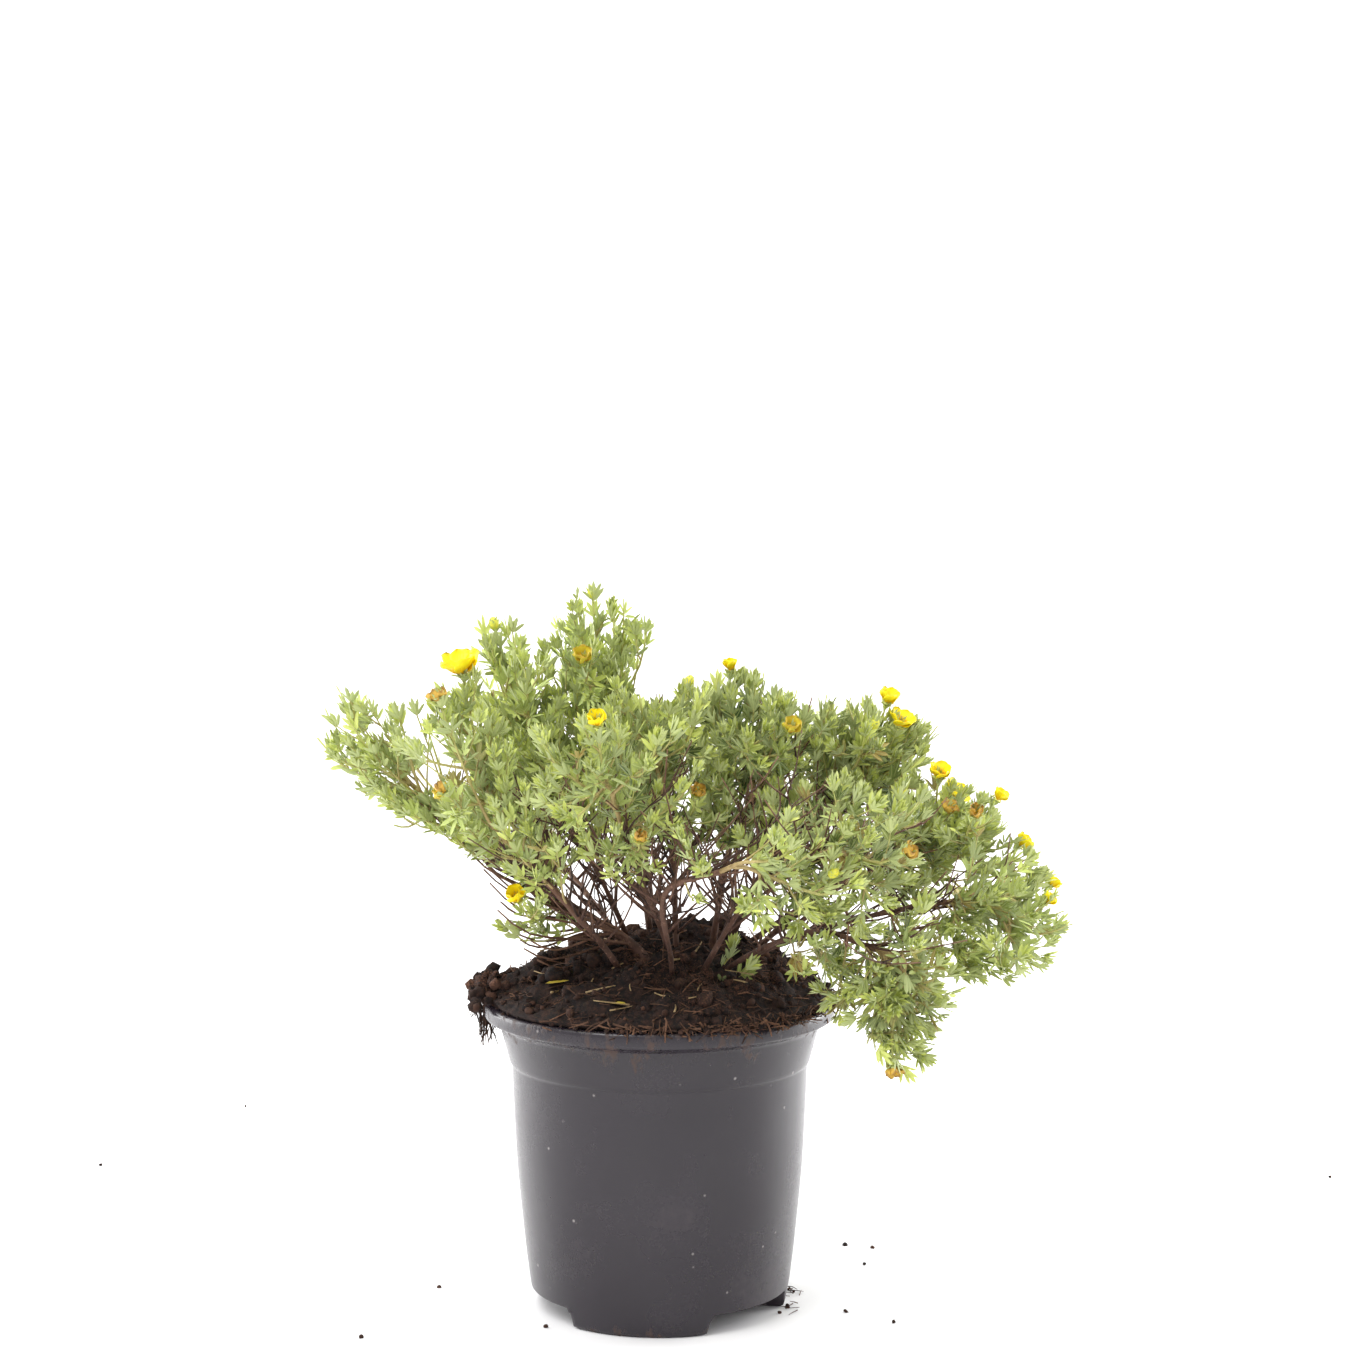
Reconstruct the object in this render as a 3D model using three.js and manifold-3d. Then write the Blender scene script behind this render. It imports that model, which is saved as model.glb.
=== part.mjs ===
// A potted shrubby cinquefoil: a nursery container, its soil, woody stems, leafy sprays and yellow blooms.
// Millimetres, +Z up. The pot's axis is the Z axis and the front of the plant faces -Y.
import * as THREE from "three";
import { mergeVertices } from "three/addons/utils/BufferGeometryUtils.js";
import Module from "manifold-3d";

const wasm = await Module();
wasm.setup();

// Driving dimensions
const GAP = 0.3; // between neighbouring pieces
const SEED = 20251;
const MERGE_TOLERANCE = 0.02; // flat neighbours this close to one plane become one face
const BEAD_SPACING = 2;
const BEAD_SLACK = GAP + 0.5; // covers the hollows between two beads

const POT_HEIGHT = 150;
const POT_SIDES = 28;
const WALL = 1.5;
const LIP_RADIUS = 85;
const LIP_DEPTH = 7;
const COLLAR_TOP = [78, 139.5]; // radius and height of each turn of the wall
const COLLAR_FOOT = [73.2, 121.5];
const BODY_TOP = [71.8, 119.5];
const BODY_MIDDLE = [69.2, 66];
const BODY_FOOT = [63.6, 14];
const BASE_RADIUS = 61;

const FOOT_COUNT = 3;
const FOOT_WIDTH_DEG = 62;
const FIRST_FOOT_DEG = -100; // measured from +X, so the first foot faces the front
const ARCH_HEIGHT = 10;
const ARCH_INNER_RADIUS = 22;
const DRAIN_HOLE_RADIUS = 5;
const DRAIN_HOLE_AT = 47;

const MOUND_HEIGHT = 23;
const MOUND_RADIUS = 83;
const SPILL_THICKNESS = 2.4;
const CLOD_HEIGHT = 5;
const SPILL_REACH = 9;
const SPILL_ANGLE = Math.PI; // towards -X
const SPILL_SPREAD = 0.16; // radians
const SPILL_RIPPLE = 1.2;
const HOLE_DEPTH = 17;
const UPRIGHT_START = 0.35; // how much steeper a stem leaves the soil than it goes on
const CLEAR_HEIGHT = POT_HEIGHT + MOUND_HEIGHT + 11; // leaves and twigs stay above this
const CLEAR_RADIUS = LIP_RADIUS + 6; // or outside this

const STEM_LIMB = { tipRadius: 1.3, sides: 4, steps: 6 };
const TWIG_LIMB = { rootRadius: 0.8, tipRadius: 0.5, sides: 3, steps: 3 };
const LEADER_LIMB = { rootRadius: 1.15, tipRadius: 0.6, sides: 3, steps: 4 };
const SIDE_SHOOT_LIMB = { rootRadius: 0.9, tipRadius: 0.6, sides: 3, steps: 3 };
const FIRST_SIDE_SHOOT = 0.1; // share of the leader's length
const SIDE_SHOOT_SPACING = 0.16;
const TWIG_LENGTH = 34;
const TWIGS_PER_STEM = 1;
const MOST_TWIG_TRIES = 40;
const MOST_LEAF_TRIES = 12;

const LEAFLET_LENGTH = 10.5;
const LEAFLET_WIDTH = 3.3;
const LEAF_THICKNESS = 1.7; // at the hub, thinning to nothing at the edge
const LEAFLET_DIRECTIONS_DEG = [-98, -48, 0, 48, 98];
const NOTCH_RADIUS = 2.9;
const PETIOLE_LENGTH = 3.4;
const LEAF_SPACING = 15.6;
const MOST_LEAVES_ON_A_SHOOT = 4;
const TURN_BETWEEN_LEAVES = THREE.MathUtils.degToRad(137.5);

const BLOOM_RADIUS = 11;
const PETAL_COUNT = 5;
const FLOWERS = {
  bloom: { reach: BLOOM_RADIUS, rise: 0.28 },
  faded_bloom: { reach: 0.6 * BLOOM_RADIUS, rise: 0.95 },
  bud: { reach: 0, rise: 0 },
};
const PETAL_EDGE = [
  [-Math.PI / PETAL_COUNT, 0.34], // turn from the petal's middle, and reach as a share of the flower's
  [-0.36, 0.92],
  [0, 1],
  [0.36, 0.92],
];
const CALYX_HEIGHT = 3.4;
const HEART_HEIGHT = 1.2; // the raised middle of a flower, above the petals' roots
const PETAL_BEAD_RADIUS = 1.6;
const BUD_RADIUS = 2.6;
const BUD_STRETCH = 1.25;
const FALLEN_LEAF_LENGTH = 12;
const FALLEN_LEAF_WIDTH = 5.2;
const FALLEN_LEAF_CURL = 0.03;
const FALLEN_LEAVES = [
  { x: -48, y: -42, turnDeg: 20 },
  { x: -20, y: -66, turnDeg: -35 },
];
const FACING_CAMERA = new THREE.Vector3(0, -0.45, 0.9);

// Where each shoot of the table below ends, and what it bears there
const shoot = (bears, x, y, z) => ({ bears, tip: new THREE.Vector3(x, y, z) });
const leafy = (x, y, z) => shoot("leaf", x, y, z);
const bloom = (x, y, z) => shoot("bloom", x, y, z);
const faded = (x, y, z) => shoot("faded_bloom", x, y, z);
const bud = (x, y, z) => shoot("bud", x, y, z);

// The main branches: foot on the soil, bend, fork where the leafy spray starts, girth at the foot, shoot tips
const BRANCHES = [
  {
    name: "far_left",
    foot: [-26, -6],
    bend: [-60, -24, 208],
    fork: [-84, -28, 228],
    girth: 3.4,
    shoots: [leafy(-151, -30, 301), leafy(-163, -16, 279), leafy(-123, -44, 298), leafy(-142, -20, 254)],
  },
  {
    name: "low_left",
    foot: [-10, -18],
    bend: [-46, 0, 198],
    fork: [-78, 10, 222],
    girth: 5.4,
    shoots: [leafy(-131, 30, 263), leafy(-131, 56, 270), leafy(-112, 10, 278), leafy(-129, 6, 234)],
  },
  {
    name: "front_left",
    foot: [-20, -30],
    bend: [-44, -62, 208],
    fork: [-62, -72, 230],
    girth: 3.2,
    shoots: [bloom(-89, -70, 311), faded(-98, -88, 301), faded(-94, -100, 262), leafy(-110, -72, 280)],
  },
  {
    name: "upper_left",
    foot: [-14, 4],
    bend: [-31, -2, 214],
    fork: [-46, -7, 240],
    girth: 3.0,
    shoots: [bud(-78, -10, 330), faded(-92, -40, 287), leafy(-62, -50, 315), leafy(-80, 32, 300)],
  },
  {
    name: "crown",
    foot: [-4, 12],
    bend: [-13, 14, 228],
    fork: [-21, 9, 252],
    girth: 3.6,
    shoots: [bud(-32, 0, 344), leafy(-6, -14, 330), leafy(-50, 18, 328), bloom(-35, -38, 315)],
  },
  {
    name: "front_centre",
    foot: [5, -30],
    bend: [-12, -66, 228],
    fork: [-16, -84, 244],
    girth: 3.2,
    shoots: [bloom(-26, -128, 294), leafy(-50, -118, 287), leafy(0, -126, 288), leafy(-40, -128, 256)],
  },
  {
    name: "centre",
    foot: [8, -8],
    bend: [6, -22, 231],
    fork: [4, -26, 243],
    girth: 3.4,
    shoots: [leafy(-9, -44, 302), bud(14, -10, 302), leafy(16, -66, 290), leafy(-20, -72, 298)],
  },
  {
    name: "back_centre",
    foot: [-2, 30],
    bend: [-8, 64, 213],
    fork: [-12, 80, 234],
    girth: 3.0,
    shoots: [leafy(-45, 112, 284), leafy(-20, 128, 290), leafy(12, 118, 288)],
  },
  {
    name: "right_centre",
    foot: [25, -8],
    bend: [34, -20, 228],
    fork: [40, -25, 243],
    girth: 3.8,
    shoots: [bloom(34, -6, 307), leafy(56, -20, 303), bloom(60, -66, 285), leafy(40, -84, 284)],
  },
  {
    name: "upper_right",
    foot: [32, 8],
    bend: [56, 6, 219],
    fork: [73, 5, 236],
    girth: 3.6,
    shoots: [bloom(108, -8, 292), leafy(128, 6, 279), leafy(83, 28, 293), leafy(96, -48, 283)],
  },
  {
    name: "right",
    foot: [44, -2],
    bend: [86, -8, 209],
    fork: [110, -11, 224],
    girth: 3.4,
    shoots: [bloom(172, 4, 222), bloom(160, -10, 246), bloom(132, -30, 259), faded(146, -56, 246)],
  },
  {
    name: "far_right",
    foot: [42, -18],
    bend: [97, -32, 195],
    fork: [136, -40, 204],
    girth: 3.2,
    shoots: [leafy(192, -30, 188), bloom(186, -6, 203), leafy(178, -48, 174), leafy(158, -72, 178)],
  },
  {
    name: "drooping_right",
    foot: [32, -32],
    bend: [74, -70, 195],
    fork: [99, -88, 190],
    girth: 2.8,
    shoots: [leafy(124, -92, 138), faded(106, -104, 143), leafy(90, -98, 160), leafy(128, -76, 162)],
  },
  {
    name: "low_front",
    foot: [6, -42],
    bend: [4, -88, 217],
    fork: [28, -110, 229],
    girth: 2.6,
    shoots: [leafy(85, -126, 224), leafy(58, -138, 243), leafy(46, -128, 212)],
  },
  {
    name: "front_right",
    foot: [20, -38],
    bend: [50, -80, 222],
    fork: [70, -94, 233],
    girth: 2.8,
    shoots: [faded(107, -120, 238), leafy(89, -122, 264), leafy(100, -120, 216), leafy(118, -92, 258)],
  },
  {
    name: "back_right",
    foot: [24, 28],
    bend: [56, 70, 202],
    fork: [78, 88, 226],
    girth: 3.2,
    shoots: [leafy(127, 116, 258), leafy(99, 132, 272), bloom(148, 94, 236)],
  },
  {
    name: "back_left",
    foot: [-22, 26],
    bend: [-47, 64, 203],
    fork: [-64, 80, 224],
    girth: 3.0,
    shoots: [leafy(-107, 104, 265), leafy(-85, 128, 273), leafy(-113, 82, 240)],
  },
  {
    name: "low_back_right",
    foot: [42, 21],
    bend: [84, 48, 194],
    fork: [118, 66, 206],
    girth: 3.0,
    shoots: [leafy(163, 78, 212), leafy(171, 60, 189), leafy(139, 96, 184)],
  },
];

const COLOURS = {
  pot: 0x3f3c40,
  soil: 0x2b1f1d,
  stem: 0x5b4137,
  spray: 0x8b955d,
  bloom: 0xf8ef3c,
  faded_bloom: 0xa9762f,
  bud: 0xb9bf55,
  fallen_leaf: 0xb9a63a,
};

// One stream of seeded random numbers from 0 to 1
function randomStream(seed) {
  let state = seed;
  return () => {
    state = (state + 0x6d2b79f5) | 0;
    let mixed = Math.imul(state ^ (state >>> 15), 1 | state);
    mixed = (mixed + Math.imul(mixed ^ (mixed >>> 7), 61 | mixed)) ^ mixed;
    return ((mixed ^ (mixed >>> 14)) >>> 0) / 4294967296;
  };
}

const random = randomStream(SEED);
const between = (low, high) => low + (high - low) * random();
const vector = (point) => new THREE.Vector3(...point);
const along = (start, direction, distance) => start.clone().addScaledVector(direction, distance);

// Solids in and out of manifold-3d
function solidOf(geometry) {
  const bare = geometry.clone();
  bare.deleteAttribute("normal");
  bare.deleteAttribute("uv");
  const merged = mergeVertices(bare, 1e-3);
  return new wasm.Manifold(
    new wasm.Mesh({
      numProp: 3,
      vertProperties: merged.attributes.position.array,
      triVerts: new Uint32Array(merged.index.array),
    }),
  );
}

function geometryOf(solid) {
  const mesh = solid.getMesh();
  const geometry = new THREE.BufferGeometry();
  geometry.setAttribute("position", new THREE.BufferAttribute(mesh.vertProperties, 3));
  geometry.setIndex(new THREE.BufferAttribute(mesh.triVerts, 1));
  geometry.computeVertexNormals();
  return geometry;
}

const fused = (geometries) => wasm.Manifold.union(geometries.map(solidOf)).simplify(MERGE_TOLERANCE);

// Beads strung along every limb and leaf, so that pieces of different nodes are kept apart
class Clearance {
  beads = [];

  string(start, end, radius) {
    const count = Math.max(1, Math.ceil(start.distanceTo(end) / BEAD_SPACING));
    return Array.from({ length: count + 1 }, (_, i) => ({
      at: start.clone().lerp(end, i / count),
      radius,
    }));
  }

  add(owner, beads) {
    this.beads.push(...beads.map((bead) => ({ ...bead, owner })));
  }

  fits(owner, beads) {
    const others = this.beads.filter((other) => other.owner !== owner);
    return beads.every(({ at, radius }) => {
      const clearOfPot = at.z > CLEAR_HEIGHT || Math.hypot(at.x, at.y) > CLEAR_RADIUS;
      const reach = radius + BEAD_SLACK;
      return clearOfPot && others.every((other) => at.distanceTo(other.at) > reach + other.radius);
    });
  }
}

const clearance = new Clearance();

// A tapered limb: a capped cylinder bent along a curve
function limbGeometry({ curve, rootRadius, tipRadius, sides, steps }) {
  const geometry = new THREE.CylinderGeometry(tipRadius, rootRadius, 1, sides, steps);
  const frames = curve.computeFrenetFrames(steps, false);
  const position = geometry.attributes.position;
  const vertex = new THREE.Vector3();
  for (let i = 0; i < position.count; i += 1) {
    vertex.fromBufferAttribute(position, i);
    const ring = Math.round((vertex.y + 0.5) * steps);
    const bent = curve.getPointAt(ring / steps);
    bent.addScaledVector(frames.binormals[ring], vertex.x);
    bent.addScaledVector(frames.normals[ring], vertex.z);
    position.setXYZ(i, bent.x, bent.y, bent.z);
  }
  return geometry;
}

// A point on the axis of the limb as built, which has straight stretches between its rings
function pointOn({ curve, steps }, from) {
  const ring = Math.min(steps - 1, Math.floor(from * steps));
  return curve.getPointAt(ring / steps).lerp(curve.getPointAt((ring + 1) / steps), from * steps - ring);
}

function limbBeads({ curve, rootRadius, steps }) {
  const points = Array.from({ length: steps + 1 }, (_, i) => curve.getPointAt(i / steps));
  return points.slice(1).flatMap((point, i) => clearance.string(points[i], point, rootRadius));
}

// The pot
const outerWall = [[BASE_RADIUS, 0], BODY_FOOT, BODY_MIDDLE, BODY_TOP, COLLAR_FOOT, COLLAR_TOP];
const innerWall = outerWall.map(([radius, height], i) => [radius - WALL, i ? height : WALL]);

function lathe(profile) {
  const points = profile.map(([radius, height]) => new THREE.Vector2(radius, height));
  return new THREE.LatheGeometry(points, POT_SIDES).rotateX(Math.PI / 2);
}

// The space under the base between two feet, grown on every side by a wall or a gap
function archGeometry(middleDeg, growth) {
  const half = THREE.MathUtils.degToRad((360 / FOOT_COUNT - FOOT_WIDTH_DEG) / 2);
  const shift = growth / Math.sin(half);
  const outline = new THREE.Shape();
  outline.absarc(-shift, 0, LIP_RADIUS + shift, -half, half, false);
  outline.absarc(-shift, 0, ARCH_INNER_RADIUS - growth + shift, half, -half, true);
  outline.closePath();
  const depth = 2 * ARCH_HEIGHT + growth;
  return new THREE.ExtrudeGeometry(outline, { depth, bevelEnabled: false, curveSegments: 4 })
    .translate(0, 0, -ARCH_HEIGHT)
    .rotateZ(THREE.MathUtils.degToRad(middleDeg));
}

const archMiddles = Array.from(
  { length: FOOT_COUNT },
  (_, i) => FIRST_FOOT_DEG + ((i + 0.5) * 360) / FOOT_COUNT,
);

function potSolid() {
  const lip = [
    [LIP_RADIUS, POT_HEIGHT - LIP_DEPTH],
    [LIP_RADIUS, POT_HEIGHT - 1],
    [LIP_RADIUS - 1, POT_HEIGHT],
    [COLLAR_TOP[0] + 0.5, POT_HEIGHT],
  ];
  const shell = solidOf(lathe([[0, 0], ...outerWall, ...lip, ...[...innerWall].reverse(), [0, WALL]]));
  const inside = solidOf(lathe([[0, 0], ...outerWall, [0, COLLAR_TOP[1]]]));
  const archWalls = fused(archMiddles.map((middle) => archGeometry(middle, WALL))).intersect(inside);
  const arches = fused(archMiddles.map((middle) => archGeometry(middle, 0)));
  const drains = fused(
    archMiddles.map((middle) =>
      new THREE.CylinderGeometry(DRAIN_HOLE_RADIUS, DRAIN_HOLE_RADIUS, 4 * ARCH_HEIGHT, 8)
        .rotateX(Math.PI / 2)
        .translate(DRAIN_HOLE_AT, 0, 0)
        .rotateZ(THREE.MathUtils.degToRad(middle)),
    ),
  );
  return shell.add(archWalls).subtract(arches).subtract(drains);
}

// The soil: a mound raised by a formula, with clods, that spills over the pot's rim and furthest at the left
function moundRadius(angle) {
  const spill = SPILL_REACH * Math.exp(-(((angle - SPILL_ANGLE) / SPILL_SPREAD) ** 2));
  return MOUND_RADIUS + SPILL_RIPPLE * Math.sin(5 * angle + 1) + spill;
}

const angleAround = (x, y) => (Math.atan2(y, x) + 2 * Math.PI) % (2 * Math.PI);

function soilHeight(x, y) {
  const reach = Math.min(1, Math.hypot(x, y) / moundRadius(angleAround(x, y)));
  const clods = Math.sin(x * 0.23 + 1) * Math.cos(y * 0.19) + Math.sin(x * 0.11 - y * 0.16 + 2);
  const mound = MOUND_HEIGHT * (1 - reach ** 2.2);
  return POT_HEIGHT + GAP + SPILL_THICKNESS + mound + (CLOD_HEIGHT / 2) * clods * (1 - reach ** 6);
}

function soilSolid(holes) {
  const inset = ([radius, height]) => [radius - GAP, height];
  const below = [[0, WALL + GAP], [innerWall[0][0] - GAP, WALL + GAP], ...innerWall.slice(1).map(inset)];
  const spillEdge = [MOUND_RADIUS - 1, POT_HEIGHT + GAP];
  const spill = [[COLLAR_TOP[0] - 0.4, POT_HEIGHT + GAP], spillEdge];
  const mound = [1, 0.86, 0.7, 0.53, 0.36, 0.18, 0].map((share) => [share * MOUND_RADIUS, 2 * POT_HEIGHT]);
  const geometry = lathe([...below, ...spill, ...mound]);
  const position = geometry.attributes.position;
  const vertex = new THREE.Vector3();
  for (let i = 0; i < position.count; i += 1) {
    vertex.fromBufferAttribute(position, i);
    const onMound = vertex.z > 1.5 * POT_HEIGHT;
    if (onMound || Math.hypot(vertex.x, vertex.y) > spillEdge[0] - GAP) {
      const stretch = moundRadius(angleAround(vertex.x, vertex.y)) / MOUND_RADIUS;
      const [x, y] = [vertex.x * stretch, vertex.y * stretch];
      position.setXYZ(i, x, y, onMound ? soilHeight(x, y) : vertex.z);
    }
  }
  const arches = fused(archMiddles.map((middle) => archGeometry(middle, WALL + GAP)));
  return solidOf(geometry).subtract(arches).subtract(fused(holes));
}

// Woody stems
function stemLimb({ foot, bend, fork, girth }) {
  const surface = new THREE.Vector3(foot[0], foot[1], soilHeight(foot[0], foot[1]));
  const rise = vector(bend).sub(surface).normalize();
  rise.z += UPRIGHT_START;
  rise.normalize();
  const root = along(surface, rise, -HOLE_DEPTH);
  const curve = new THREE.CatmullRomCurve3([root, along(surface, rise, 6), vector(bend), vector(fork)]);
  return { ...STEM_LIMB, curve, rootRadius: girth / 2 };
}

function stemHole({ curve, rootRadius, steps }) {
  const root = curve.getPointAt(0);
  const next = curve.getPointAt(1 / steps);
  const length = 2 * HOLE_DEPTH;
  const direction = next.sub(root).normalize();
  const middle = along(root, direction, length / 2 - GAP);
  const turn = new THREE.Quaternion().setFromUnitVectors(new THREE.Vector3(0, 1, 0), direction);
  const radius = rootRadius + 2 * GAP;
  return new THREE.CylinderGeometry(radius, radius, length, 5)
    .applyQuaternion(turn)
    .translate(middle.x, middle.y, middle.z);
}

function twigLimb(stem) {
  const from = between(0.45, 0.9);
  const start = pointOn(stem, from);
  const tangent = stem.curve.getTangentAt(from);
  const turn = between(0, 2 * Math.PI);
  const aside = new THREE.Vector3(Math.cos(turn), Math.sin(turn), 0.5);
  const heading = tangent.multiplyScalar(0.7).add(aside).normalize();
  const length = TWIG_LENGTH * between(0.7, 1.2);
  const middle = along(start, heading, length / 2);
  const end = along(start, heading, length);
  end.z += length * 0.25;
  return { ...TWIG_LIMB, curve: new THREE.CatmullRomCurve3([start, middle, end]) };
}

function stemTwigs(name, stem) {
  const twigs = [];
  for (let attempt = 0; attempt < MOST_TWIG_TRIES && twigs.length < TWIGS_PER_STEM; attempt += 1) {
    const twig = twigLimb(stem);
    const beads = limbBeads(twig);
    if (clearance.fits(name, beads)) {
      clearance.add(name, beads);
      twigs.push(twig);
    }
  }
  return twigs;
}

// Green shoots of a spray: the first is the leader, the others leave it one after another
function shootCurve(start, heading, { bears, tip }) {
  const reach = start.distanceTo(tip);
  const facing = tip.clone().sub(start).normalize();
  if (bears === "bloom") {
    facing.add(FACING_CAMERA);
  } else {
    facing.z += 0.35;
  }
  facing.normalize();
  const last = along(tip, facing, -0.22 * reach);
  return new THREE.CatmullRomCurve3([start, along(start, heading, 0.18 * reach), last, tip]);
}

function sprayLimbs(stem, shoots) {
  const heading = stem.curve.getTangentAt(1);
  const start = along(stem.curve.getPointAt(1), heading, GAP);
  const leader = { ...LEADER_LIMB, curve: shootCurve(start, heading, shoots[0]) };
  const sides = shoots.slice(1).map((side, i) => {
    const from = FIRST_SIDE_SHOOT + SIDE_SHOOT_SPACING * i;
    const curve = shootCurve(pointOn(leader, from), leader.curve.getTangentAt(from), side);
    return { ...SIDE_SHOOT_LIMB, curve };
  });
  return [leader, ...sides];
}

// A leaf with five narrow leaflets: a flat double cone whose rim is drawn out to the leaflets' outline
function leafOutline(scale) {
  const polar = (degrees, radius) => {
    const angle = THREE.MathUtils.degToRad(degrees);
    return new THREE.Vector2(Math.cos(angle), Math.sin(angle)).multiplyScalar(radius * scale);
  };
  const points = [polar(-132, NOTCH_RADIUS)];
  LEAFLET_DIRECTIONS_DEG.forEach((direction, i) => {
    const next = LEAFLET_DIRECTIONS_DEG[i + 1] ?? direction + 68;
    points.push(polar(direction, LEAFLET_LENGTH * (1 - 0.07 * Math.abs(i - 2))));
    points.push(polar((direction + next) / 2, NOTCH_RADIUS));
  });
  points.push(new THREE.Vector2(-PETIOLE_LENGTH - 0.35, 0));
  return points;
}

function starGeometry(outline, above, below, lift) {
  const geometry = new THREE.ConeGeometry(1, 1, outline.length);
  const position = geometry.attributes.position;
  for (let i = 0; i < position.count; i += 1) {
    const [x, y, z] = [position.getX(i), position.getY(i), position.getZ(i)];
    if (Math.hypot(x, z) < 0.5) {
      position.setXYZ(i, 0, 0, y > 0 ? above : -below);
    } else {
      const turn = Math.atan2(x, z) / (2 * Math.PI);
      const point = outline[Math.round((turn + 1) * outline.length) % outline.length];
      position.setXYZ(i, point.x, point.y, lift(point));
    }
  }
  return geometry;
}

// Turns a piece made along +X, facing +Z, so that it points along forward and faces as near to up as it can
function place(geometry, hub, forward, up) {
  const sideways = new THREE.Vector3().crossVectors(up, forward).normalize();
  const normal = new THREE.Vector3().crossVectors(forward, sideways);
  const matrix = new THREE.Matrix4().makeBasis(forward, sideways, normal).setPosition(hub);
  return { geometry: geometry.applyMatrix4(matrix), matrix };
}

function leafAt(limb, from, turn) {
  const point = pointOn(limb, from);
  const tangent = limb.curve.getTangentAt(from);
  const level = new THREE.Vector3().crossVectors(tangent, new THREE.Vector3(0.1, 0.2, 1)).normalize();
  const aside = level.applyAxisAngle(tangent, turn);
  const terminal = from * limb.curve.getLength() > limb.curve.getLength() - 2;
  const forward = tangent.clone().multiplyScalar(terminal ? 1 : 0.55);
  forward.addScaledVector(aside, terminal ? 0.15 : 0.85).normalize();
  const up = tangent.clone().addScaledVector(aside, terminal ? 1 : -0.6);
  up.z += 0.25;
  const scale = between(0.86, 1.1);
  const curl = between(0.005, 0.03);
  const lift = ({ x, y }) => curl * (x * x + y * y);
  const star = starGeometry(leafOutline(scale), LEAF_THICKNESS / 2, LEAF_THICKNESS / 2, lift);
  const { geometry, matrix } = place(star, along(point, forward, PETIOLE_LENGTH), forward, up);
  const hub = new THREE.Vector3().applyMatrix4(matrix);
  const beads = LEAFLET_DIRECTIONS_DEG.flatMap((degrees) => {
    const angle = THREE.MathUtils.degToRad(degrees);
    const length = LEAFLET_LENGTH * scale;
    const tip = new THREE.Vector3(length * Math.cos(angle), length * Math.sin(angle), curl * length * length);
    return clearance.string(hub, tip.applyMatrix4(matrix), LEAFLET_WIDTH / 2);
  });
  return { geometry, beads };
}

function shootLeaves(name, limb, bears) {
  const length = limb.curve.getLength();
  const leaves = [];
  const first = bears === "leaf" ? 0 : 1;
  for (let i = first; i < MOST_LEAVES_ON_A_SHOOT && i * LEAF_SPACING < 0.8 * length; i += 1) {
    for (let attempt = 0; attempt < MOST_LEAF_TRIES; attempt += 1) {
      const turn = i * TURN_BETWEEN_LEAVES + between(-0.5, 0.5) * (1 + attempt / 2);
      const leaf = leafAt(limb, 1 - Math.max(1, i * LEAF_SPACING) / length, turn);
      if (clearance.fits(name, leaf.beads)) {
        clearance.add(`leaves of ${name}`, leaf.beads);
        leaves.push(leaf.geometry);
        break;
      }
    }
  }
  return leaves;
}

// Flowers: five round petals drawn out of one star, whose lower point is the calyx on the shoot
function petalOutline(radius) {
  const points = [];
  for (let petal = 0; petal < PETAL_COUNT; petal += 1) {
    const middle = (petal * 2 * Math.PI) / PETAL_COUNT;
    PETAL_EDGE.forEach(([turn, reach]) => {
      const angle = middle + turn;
      points.push(new THREE.Vector2(Math.cos(angle), Math.sin(angle)).multiplyScalar(reach * radius));
    });
  }
  return points;
}

function flowerGeometry(kind) {
  if (kind === "bud") {
    const ball = new THREE.SphereGeometry(BUD_RADIUS, 6, 4);
    return ball.scale(1, 1, BUD_STRETCH).translate(0, 0, BUD_STRETCH * BUD_RADIUS);
  }
  const { reach, rise } = FLOWERS[kind];
  const lift = ({ x, y }) => rise * Math.hypot(x, y);
  return starGeometry(petalOutline(reach), HEART_HEIGHT, CALYX_HEIGHT, lift).translate(0, 0, CALYX_HEIGHT);
}

function flowerAt(kind, limb) {
  const axis = limb.curve.getTangentAt(1);
  const base = along(limb.curve.getPointAt(1), axis, GAP);
  const turn = new THREE.Quaternion().setFromUnitVectors(new THREE.Vector3(0, 0, 1), axis);
  const geometry = flowerGeometry(kind).applyQuaternion(turn).translate(base.x, base.y, base.z);
  const middle = along(base, axis, CALYX_HEIGHT);
  const beads = [{ at: middle, radius: BUD_RADIUS }];
  const rays = 2 * PETAL_COUNT;
  const { reach, rise } = FLOWERS[kind];
  for (let i = 0; i < rays && kind !== "bud"; i += 1) {
    const angle = (i * 2 * Math.PI) / rays;
    const edge = new THREE.Vector3(Math.cos(angle), Math.sin(angle), rise).multiplyScalar(reach);
    beads.push(...clearance.string(middle, edge.applyQuaternion(turn).add(middle), PETAL_BEAD_RADIUS));
  }
  return { geometry, beads };
}

// Yellow leaflets that have dropped on the soil
function fallenLeafGeometry({ x, y, turnDeg }) {
  const ellipse = new THREE.EllipseCurve(0, 0, FALLEN_LEAF_LENGTH / 2, FALLEN_LEAF_WIDTH / 2);
  const outline = ellipse.getPoints(8).slice(0, 8);
  const lift = (edge) => FALLEN_LEAF_CURL * edge.x ** 2;
  return starGeometry(outline, LEAF_THICKNESS / 2, LEAF_THICKNESS / 4, lift)
    .rotateZ(THREE.MathUtils.degToRad(turnDeg))
    .translate(x, y, 2 * POT_HEIGHT);
}

// Lowers a geometry until its lowest stretch lies just clear of the ground below it
function settle(geometry, ground) {
  const ray = new THREE.Raycaster();
  const down = new THREE.Vector3(0, 0, -1);
  const position = geometry.attributes.position;
  const drops = Array.from({ length: position.count }, (_, i) => {
    ray.set(new THREE.Vector3().fromBufferAttribute(position, i), down);
    return ray.intersectObject(ground)[0].distance;
  });
  return geometry.translate(0, 0, GAP - Math.min(...drops));
}

// Assembly
const plant = new THREE.Group();

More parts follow.
